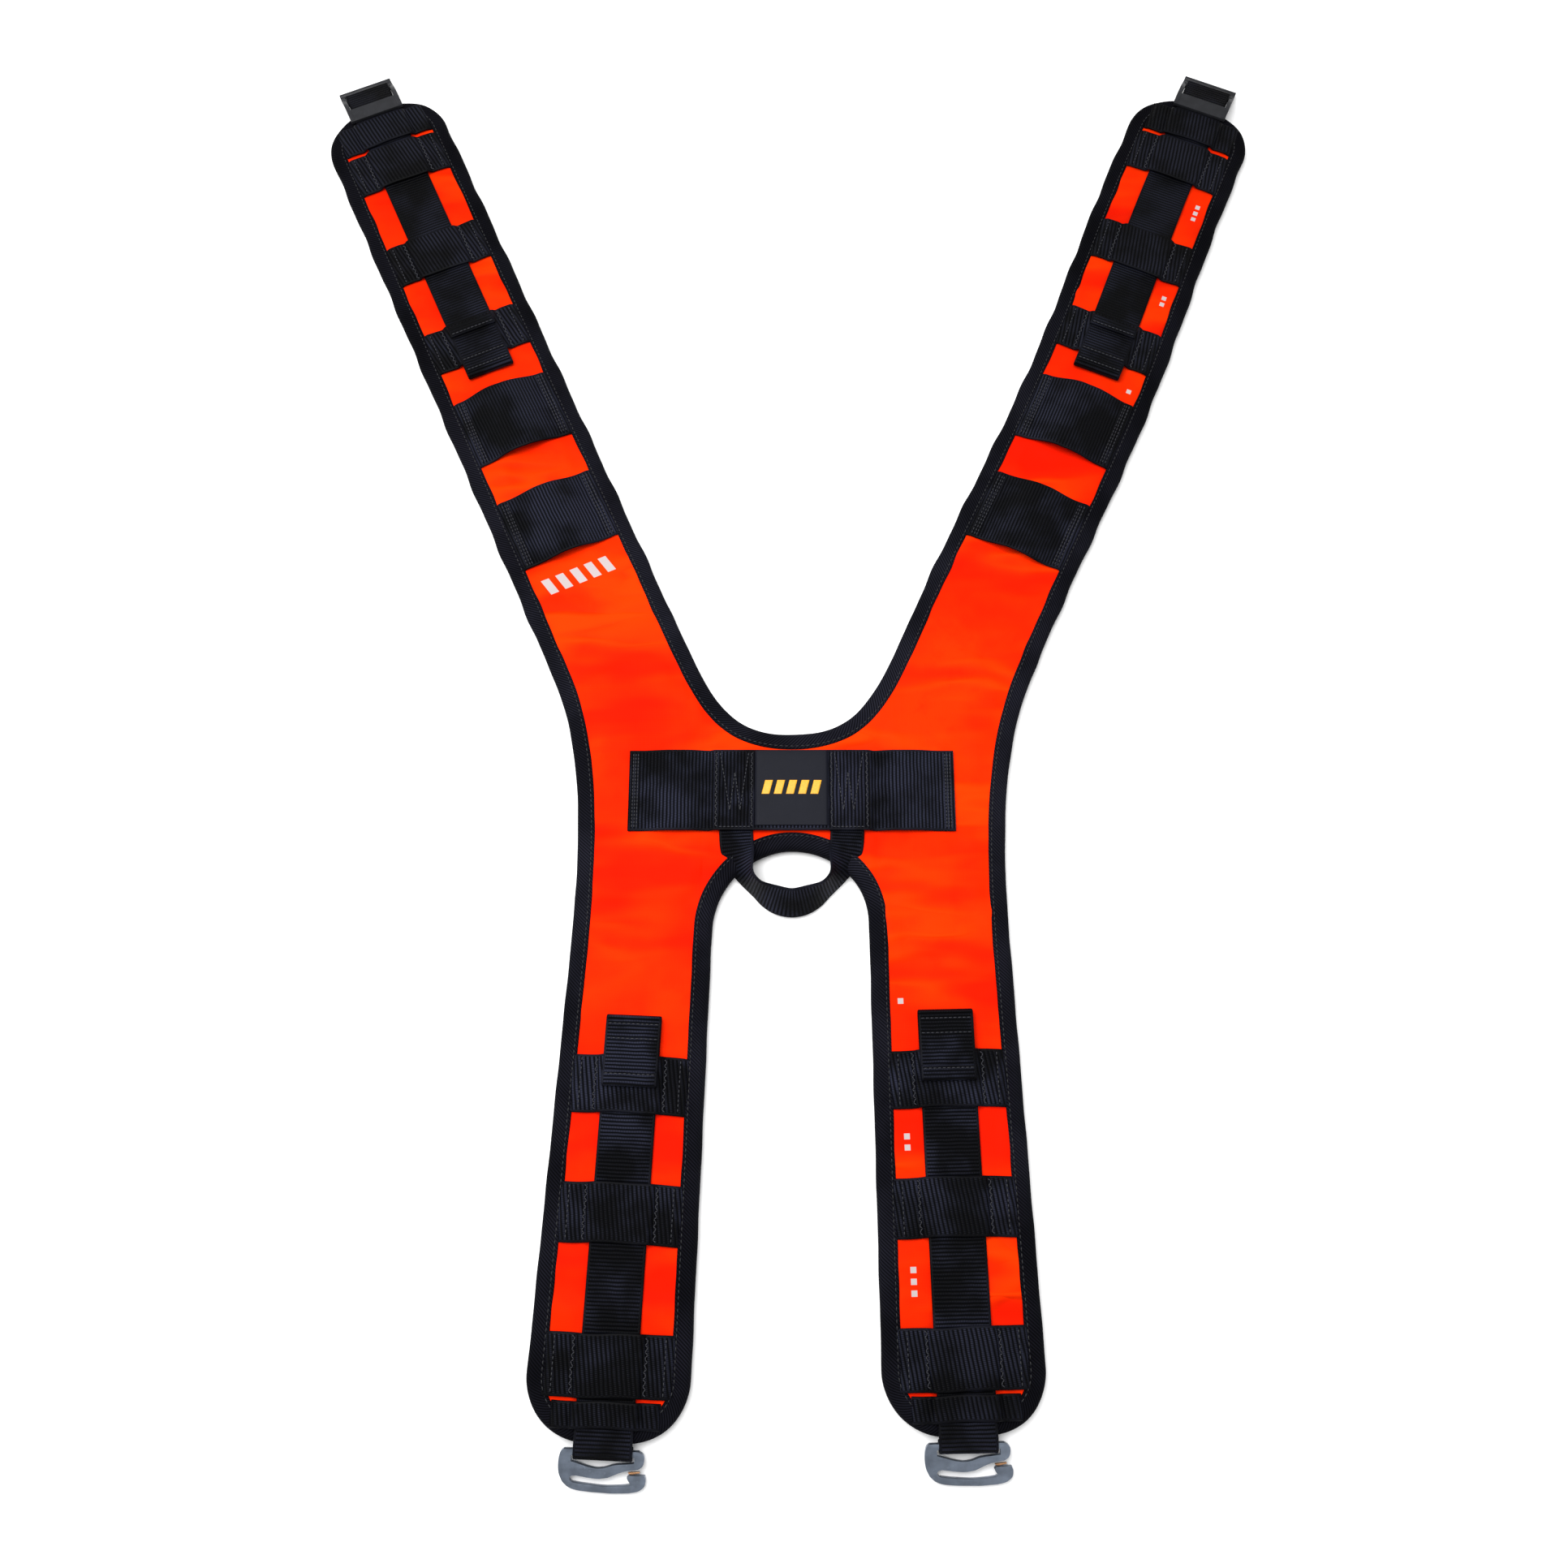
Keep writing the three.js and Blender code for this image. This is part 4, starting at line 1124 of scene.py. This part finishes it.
class HarnessPadSettings(bpy.types.PropertyGroup):
    """Sizes and colours of the bound pad."""

    face_colour: colour_setting("Face", "Coated face fabric", (0.82, 0.019, 0.0003))
    lining_colour: colour_setting("Lining", "Spacer mesh on the wearer's side", (0.007, 0.007, 0.009))
    binding_colour: colour_setting("Binding", "Twill edge tape", (0.0036, 0.0036, 0.0058))
    mark_colour: colour_setting("Prints", "Reflective printed marks", (0.42, 0.36, 0.36))
    face_spacing: length_setting("Mesh spacing", "Distance between points of the face sheet", 3.0)
    most_lift: length_setting("Most lift", "Furthest that the face may swell", 1.6)
    binding_wave: length_setting("Binding wander", "How far the binding wanders on an upper arm", 0.55)
    slack: bpy.props.FloatProperty(
        name="Slack", description="How much larger the face is cut than its place",
        default=0.022, min=0, max=0.2)
    foam_push: bpy.props.FloatProperty(
        name="Foam push", description="Pressure of the foam under the face", default=3.0, min=0)
    settle_steps: bpy.props.IntProperty(
        name="Settling steps", description="Length of the cloth simulation", default=22, min=2)


class HarnessWebbingSettings(bpy.types.PropertyGroup):
    """Colours and weave of the webbing."""

    colour: colour_setting("Webbing", "Dark ribbed webbing", (0.0048, 0.0053, 0.0098))
    label_colour: colour_setting("Label", "Woven label", (0.0022, 0.0028, 0.0075))
    mark_colour: colour_setting("Label mark", "Plain mark on the label", (0.60, 0.29, 0.012))
    thread_colour: colour_setting("Thread", "Sewing thread", (0.011, 0.0115, 0.016))
    band_pitch: length_setting("Band ribs", "Distance between ribs of the bands", 2.4)
    strap_pitch: length_setting("Strap ribs", "Distance between ribs of the straps", 2.0)


class HarnessFittingSettings(bpy.types.PropertyGroup):
    """Colours of the metal fittings."""

    lock_colour: colour_setting("Slides", "Dark satin paint", (0.012, 0.0125, 0.015))
    hook_colour: colour_setting("Hooks", "Blue-grey satin metal", (0.165, 0.195, 0.245))
    keeper_colour: colour_setting("Keepers", "Bronze spring leaf", (0.42, 0.22, 0.11))


class HarnessStageSettings(bpy.types.PropertyGroup):
    """Camera, floor and light."""

    floor_colour: colour_setting("Floor", "Plain pale floor", (0.96, 0.96, 0.96))
    lens: bpy.props.FloatProperty(
        name="Lens", description="Focal length in millimetres", default=33.8, min=1)
    tilt: bpy.props.FloatProperty(
        name="Tilt", description="Lean of the view from straight above", default=math.radians(18),
        subtype="ANGLE")
    distance: bpy.props.FloatProperty(
        name="Distance", description="From the camera to the floor", default=0.885, min=0,
        unit="LENGTH")


# ---------------------------------------------------------------- operators
class HARNESS_OT_pad(bpy.types.Operator):
    """Build the face, lining and binding of the yoke and the arms"""

    bl_idname = "harness.pad"
    bl_label = "Bound pad"

    def execute(self, context):
        settings = context.scene.harness_pad
        union, sheets = face_sheets(settings)
        lining = lining_finish("spacer_mesh", tuple(settings.lining_colour))
        binding = binding_finish("twill_tape", tuple(settings.binding_colour))
        for name, (index, own) in sheets.items():
            points = union[index]
            uv = points[:, :2] if name == "yoke" else np.stack(local(name, points), axis=1)
            own = facing_up(points, own)
            face = new_object(f"face_{name}", points, own.tolist(), uv)
            finish = face_finish(f"coated_face_{name}", tuple(settings.face_colour),
                                 PRINTS.get(name, ()), tuple(settings.mark_colour))
            smooth_once(face)
            thicken(face, 0.8)
            under = points.copy()
            under[:, 2] = 0.35
            back = new_object(f"lining_{name}", under, own[:, ::-1].tolist(), uv)
            thicken(back, 1.5)
            if name == "yoke":
                finished(face, finish, "yoke")
                finished(back, lining, "yoke")
                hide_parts("yoke_face")
                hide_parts("yoke_padding")
            else:
                finished(face, finish)
                finished(back, lining)
                for piece in (face, back):
                    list(blend_zone(name))
                    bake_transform(piece)
                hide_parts(f"arm_face_{name}")
                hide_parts(f"arm_padding_{name}", f"arm_flex_{name}")
        for arm in ARMS:
            path = resample(arm_rim(arm), 1.7)
            normal = rim_normals(path, (1, 0, 0), (-1, 0, 0))
            wave = settings.binding_wave / MM * (1.0 if arm.startswith("upper") else LOWER_WAVE)
            points, faces, uv = binding_strip(path, normal, wave)
            edge = new_object(f"binding_{arm}", place(arm, points), faces, uv)
            finished(edge, binding)
            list(blend_zone(arm))
            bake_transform(edge)
            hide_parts(f"arm_binding_{arm}")
        for kind in EDGE_ENDS:
            path = resample(joining_edge(kind), 1.7)
            points, faces, uv = binding_strip(path, edge_normals(kind, path), YOKE_WAVE)
            edge = new_object(f"binding_{kind}", points, faces, uv)
            finished(edge, binding, "yoke")
            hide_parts(f"binding_{kind}")
        return {"FINISHED"}


class HARNESS_OT_bands(bpy.types.Operator):
    """Build the bands that cross the arms"""

    bl_idname = "harness.bands"
    bl_label = "Cross bands"

    def execute(self, context):
        settings = context.scene.harness_webbing
        pitch = settings.band_pitch / MM
        colour = tuple(settings.colour)
        narrow = webbing_finish("band_webbing", colour, pitch, slant=0.16)
        wide = webbing_finish("wide_band_webbing", colour, 2.0, slant=0.03)
        for arm, size in ARMS.items():
            body = f"arm_{arm}"
            for i, along in enumerate(size["wide"], 1):
                band = cross_band(arm, f"accessory_{arm}_{i}", along, WIDE_HALF, wide_height)
                finished(band, wide, body)
                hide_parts(f"accessory_band_{arm}_{i}")
            for i, along in enumerate(size["narrow"], 1):
                band = cross_band(arm, f"band_{arm}_{i}", along, NARROW_HALF, narrow_height)
                finished(band, narrow, body)
                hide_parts(f"cross_band_{arm}_{i}")
            low, high = size["end"]
            band = cross_band(arm, f"tip_band_{arm}", (low + high) / 2, (high - low) / 2, narrow_height)
            finished(band, narrow, body)
            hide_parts(f"end_band_{arm}")
        return {"FINISHED"}


class HARNESS_OT_straps(bpy.types.Operator):
    """Build the adjusting straps and their folded ends"""

    bl_idname = "harness.straps"
    bl_label = "Straps"

    def execute(self, context):
        settings = context.scene.harness_webbing
        finish = webbing_finish("strap_webbing", tuple(settings.colour), settings.strap_pitch / MM,
                                yarn=0.9)
        for arm, size in ARMS.items():
            strap = build_strip(f"adjusting_strap_{arm}", arm, strap_points(size), (-1, 0, 0),
                                STRAP_HALF, WEB_THICK)
            finished(strap, finish, f"strap_{arm}")
            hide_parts(f"strap_{arm}")
            tab = build_strip(f"folded_end_{arm}", arm, tab_points(size), (-1, 0, 0),
                              STRAP_HALF, WEB_THICK)
            finished(tab, finish)
            fold = size["strap_fold"]
            start, end = place(arm, ((0, fold, TAB_MID), (0, fold + 2, TAB_MID))) * MM
            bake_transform(tab)
            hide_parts(f"strap_tab_{arm}")
        return {"FINISHED"}


class HARNESS_OT_yoke_webbing(bpy.types.Operator):
    """Build the chest band, the label and the haul loop"""

    bl_idname = "harness.yoke_webbing"
    bl_label = "Yoke webbing"

    def execute(self, context):
        settings = context.scene.harness_webbing
        colour = tuple(settings.colour)
        wide = webbing_finish("chest_webbing", colour, 2.1)
        x = np.linspace(-CHEST_HALF, CHEST_HALF, 181)
        path = np.stack((x + CENTRE_X, np.full_like(x, CHEST_Y), chest_height(x)), axis=1)
        chest = build_strip("chest_webbing", None, path, (0, 1, 0), WIDE_HALF, WEB_THICK, columns=13)
        finished(chest, wide, "yoke")
        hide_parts("chest_band")

        path, across = haul_line()
        loop = build_strip("haul_webbing", None, path, across, 10.0, WEB_THICK)
        finished(loop, webbing_finish("haul_webbing", colour, 2.0, yarn=0.8), "haul_loop")
        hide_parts("haul_loop")

        x = np.linspace(-LABEL_HALF[0], LABEL_HALF[0], 25)
        path = np.stack((x + CENTRE_X, np.full_like(x, CHEST_Y + 1), label_height(x)), axis=1)
        label = build_strip("sewn_label", None, path, (0, 1, 0), LABEL_HALF[1], 0.6, columns=11)
        weave = label_finish("label_weave", tuple(settings.label_colour))
        finished(label, weave, "yoke")
        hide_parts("label")
        marks = []
        for centre in (-14.4, -7.2, 0.0, 7.2, 14.4):
            x = np.linspace(centre - 2.3, centre + 2.3, 7)
            height = label_height(x) + 0.32
            path = np.stack((x + CENTRE_X, np.full_like(x, CHEST_Y + 1.2), height), axis=1)
            marks.append(strip(path, (0.24, 0.97, 0), 4.4, 0.16, columns=4))
        mark = new_object("label_mark", *join_shapes(marks))
        gold = thread_finish("mark_thread", tuple(settings.mark_colour))
        finished(mark, gold, "yoke")
        return {"FINISHED"}


class HARNESS_OT_stitching(bpy.types.Operator):
    """Sew the binding, the bands, the folded ends and the chest band"""

    bl_idname = "harness.stitching"
    bl_label = "Stitching"

    def execute(self, context):
        colour = tuple(context.scene.harness_webbing.thread_colour)
        thread = thread_finish("sewing_thread", colour)
        fine = thread_finish("seam_thread", tuple(0.4 * c for c in colour))
        for arm, size in ARMS.items():
            rim = resample(arm_rim(arm), 1.0)
            line = seam_line(rim, rim_normals(rim, (1, 0, 0), (-1, 0, 0)))
            seam = stitch_object(f"seam_{arm}", *self.moved(arm, stitch_line(line, UP, SEAM_PITCH)))
            finished(seam, fine)
            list(blend_zone(arm))
            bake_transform(seam)
            parts = []
            for along in size["narrow"]:
                end = band_end(size, along)
                for x, reach, pitch in ((19.4, 1.1, 2.0), (end - 3.4, 0.0, 2.6)):
                    height = narrow_height(x, end) + WEB_THICK / 2 + 0.12
                    parts += self.rows_across(x, along, NARROW_HALF - 1.6, height, reach, pitch)
            for along in size["wide"]:
                end = band_end(size, along)
                for x in (end - 5.6, end - 4.2, end - 2.4):
                    height = wide_height(x, end) + WEB_THICK / 2 + 0.05
                    parts += self.rows_across(x, along, WIDE_HALF - 2, height, 0.0, 2.6)
            parts = self.moved(arm, self.together(parts))
            sewn = stitch_object(f"band_stitches_{arm}", *parts, 1.9, 0.7)
            finished(sewn, thread, f"arm_{arm}")
            rows = [(back - FOLD_RADIUS - WEB_THICK / 2, TAB_MID) for back in (5.3, 13.5)]
            rows.append((TAB_LENGTH - 7.4 - FOLD_RADIUS, TAB_MID + WEB_THICK + 0.15))
            parts = [self.tab_row(size, back, height) for back, height in rows]
            parts = self.moved(arm, self.together(parts))
            sewn = stitch_object(f"tab_stitches_{arm}", *parts, 2.2, 0.7)
            finished(sewn, thread, f"tab_{arm}")
        for kind in EDGE_ENDS:
            rim = resample(joining_edge(kind), 1.0)
            line = seam_line(rim, edge_normals(kind, rim))
            seam = stitch_object(f"seam_{kind}", *stitch_line(line, UP, SEAM_PITCH))
            finished(seam, fine, "yoke")
        low, high = CHEST_Y - WIDE_HALF + 2, CHEST_Y + WIDE_HALF - 2
        outer = WEB_MID + WEB_THICK / 2 + 0.1
        inner = outer + WEB_STEP + 0.2
        crossed = ((42.5, high), (36.5, low + 10), (33.5, high - 12), (30.5, low + 10), (25.5, high))

        def line(side, height, *corners):
            """Corners beside the chest band's middle, mirrored by side, at one height."""
            return np.array([(CENTRE_X + side * x, y, height) for x, y in corners])

        parts = []
        for side in (-1, 1):
            for x in (91.3, 92.7, 94.1):
                parts.append(stitch_line(line(side, outer, (x, low), (x, high)), UP, 2.2))
            for x, reach in ((44.6, 0.9), (23.6, 0.8)):
                ends = line(side, inner, (x, low), (x, high))
                parts.append(stitch_line(zigzag(*ends, reach, 1.8), UP, 2.0))
            parts.append(stitch_line(line(side, inner, *crossed), UP, 2.4))
            parts.append(stitch_line(line(side, inner, (43, low), (24, low)), UP, 2.4))
        sewn = stitch_object("chest_stitches", *self.together(parts), 2.0, 0.75)
        finished(sewn, thread, "yoke")
        return {"FINISHED"}

    @staticmethod
    def rows_across(x, along, half, height, reach, pitch):
        """Rows of stitches over a band's width, at x on both sides: zigzags where reach isn't 0."""
        rows = []
        for side in (-1, 1):
            ends = ((side * x, along - half, height), (side * x, along + half, height))
            rows.append(stitch_line(zigzag(*ends, reach, 1.7), UP, pitch))
        return rows

    @staticmethod
    def together(parts):
        """Several rows of stitches as one."""
        return tuple(np.vstack([part[i] for part in parts]) for i in range(3))

    @staticmethod
    def moved(arm, stitches):
        """Stitches from an arm's frame to the whole object's."""
        centres, ways, ups = stitches
        return place(arm, centres), turn(arm, ways), turn(arm, ups)

    @staticmethod
    def tab_row(size, back, height):
        """A row of stitches across a folded end, at a distance from its fold."""
        y, z = size["strap_fold"] + back, height + WEB_THICK / 2
        return stitch_line(((1.3 - STRAP_HALF, y, z), (STRAP_HALF - 1.3, y, z)), UP, 2.6, 0.1)


class HARNESS_OT_fittings(bpy.types.Operator):
    """Build the slides and the belt hooks"""

    bl_idname = "harness.fittings"
    bl_label = "Slides and hooks"

    def execute(self, context):
        settings = context.scene.harness_fittings
        lock = metal_finish("slide_paint", tuple(settings.lock_colour), 0.0, 0.44, 0.06)
        hook = metal_finish("hook_metal", tuple(settings.hook_colour), 0.95, 0.34)
        keeper = metal_finish("keeper_bronze", tuple(settings.keeper_colour), 0.9, 0.38)
        for arm in ("upper_left", "upper_right"):
            made = finer_copy(f"ladder_lock_{arm}", f"slide_{arm}", 0.35)
            finished(made, lock, f"lock_{arm}")
            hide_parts(f"ladder_lock_{arm}")
        for arm in ("lower_left", "lower_right"):
            made = finer_copy(f"hook_{arm}", f"belt_hook_{arm}", 0.7)
            finished(made, hook, f"hook_{arm}")
            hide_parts(f"hook_{arm}")
            made = finer_copy(f"hook_keeper_{arm}", f"keeper_{arm}", 0.2)
            finished(made, keeper, f"hook_{arm}")
            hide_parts(f"hook_keeper_{arm}")
        return {"FINISHED"}


def aim(at, target):
    """Turns that point a lamp at a target: down by the angle from the vertical, after a turn to
    face it."""
    away = target - at
    flat = math.hypot(away[0], away[1])
    return (math.atan2(flat, -away[2]), 0.0, math.atan2(away[1], away[0]) - math.pi / 2)


class HARNESS_OT_stage(bpy.types.Operator):
    """Set up the floor, the lights and the camera"""

    bl_idname = "harness.stage"
    bl_label = "Stage"

    def execute(self, context):
        settings = context.scene.harness_stage
        scene = context.scene
        scene.view_settings.view_transform = "Standard"
        corners = [(x * FLOOR_HALF, y * FLOOR_HALF, 0) for x, y in ((-1, -1), (1, -1), (1, 1), (-1, 1))]
        floor = new_object("floor", corners, [(0, 1, 2, 3)], smooth=False)
        plain = Finish("floor_paper")
        plain.set(base_color=tuple(settings.floor_colour), roughness=0.9, specular_ior_level=0.1)
        floor.data.materials.append(plain.material)
        world = bpy.data.worlds.new("studio")
        world.use_nodes = True
        sky = world.node_tree.nodes["Background"]
        sky.inputs["Color"].default_value = (1, 1, 1, 1)
        sky.inputs["Strength"].default_value = SKY
        scene.world = world
        for name, at, size, power in LAMPS:
            light = bpy.data.lights.new(name, "AREA")
            light.size = size
            light.energy = power
            lamp = bpy.data.objects.new(name, light)
            lamp.location = at
            lamp.rotation_euler = aim(np.array(at), VIEW_TARGET)
            scene.collection.objects.link(lamp)
        camera = bpy.data.cameras.new("camera")
        camera.lens = settings.lens
        camera.sensor_width = 36.0
        viewer = bpy.data.objects.new("camera", camera)
        back = np.array((0, -math.sin(settings.tilt), math.cos(settings.tilt)))
        viewer.location = VIEW_TARGET + back * settings.distance
        viewer.rotation_euler = (settings.tilt, 0, 0)
        scene.collection.objects.link(viewer)
        scene.camera = viewer
        return {"FINISHED"}


STEPS = (HARNESS_OT_pad, HARNESS_OT_bands, HARNESS_OT_straps, HARNESS_OT_yoke_webbing,
         HARNESS_OT_stitching, HARNESS_OT_fittings, HARNESS_OT_stage)
SETTINGS = {"harness_pad": HarnessPadSettings, "harness_webbing": HarnessWebbingSettings,
            "harness_fittings": HarnessFittingSettings, "harness_stage": HarnessStageSettings}


class HARNESS_PT_panel(bpy.types.Panel):
    """Lists the steps and their settings"""

    bl_idname = "HARNESS_PT_panel"
    bl_label = "Harness"
    bl_space_type = "VIEW_3D"
    bl_region_type = "UI"
    bl_category = "Harness"

    def draw(self, context):
        layout = self.layout
        for step in STEPS:
            layout.operator(step.bl_idname)
        for name, group in SETTINGS.items():
            box = layout.box()
            for key in group.__annotations__:
                box.prop(getattr(context.scene, name), key)


def register():
    """Adds the settings, the steps and the panel to Blender."""
    for group in SETTINGS.values():
        bpy.utils.register_class(group)
    for step in STEPS:
        bpy.utils.register_class(step)
    bpy.utils.register_class(HARNESS_PT_panel)
    for name, group in SETTINGS.items():
        setattr(bpy.types.Scene, name, bpy.props.PointerProperty(type=group))


def unregister():
    """Takes them away again."""
    for name in SETTINGS:
        delattr(bpy.types.Scene, name)
    bpy.utils.unregister_class(HARNESS_PT_panel)
    for step in reversed(STEPS):
        bpy.utils.unregister_class(step)
    for group in SETTINGS.values():
        bpy.utils.unregister_class(group)


def main():
    """Runs every step in order."""
    register()
    bpy.ops.harness.pad()
    bpy.ops.harness.bands()
    bpy.ops.harness.straps()
    bpy.ops.harness.yoke_webbing()
    bpy.ops.harness.stitching()
    bpy.ops.harness.fittings()
    bpy.ops.harness.stage()


if __name__ == "__main__":
    main()
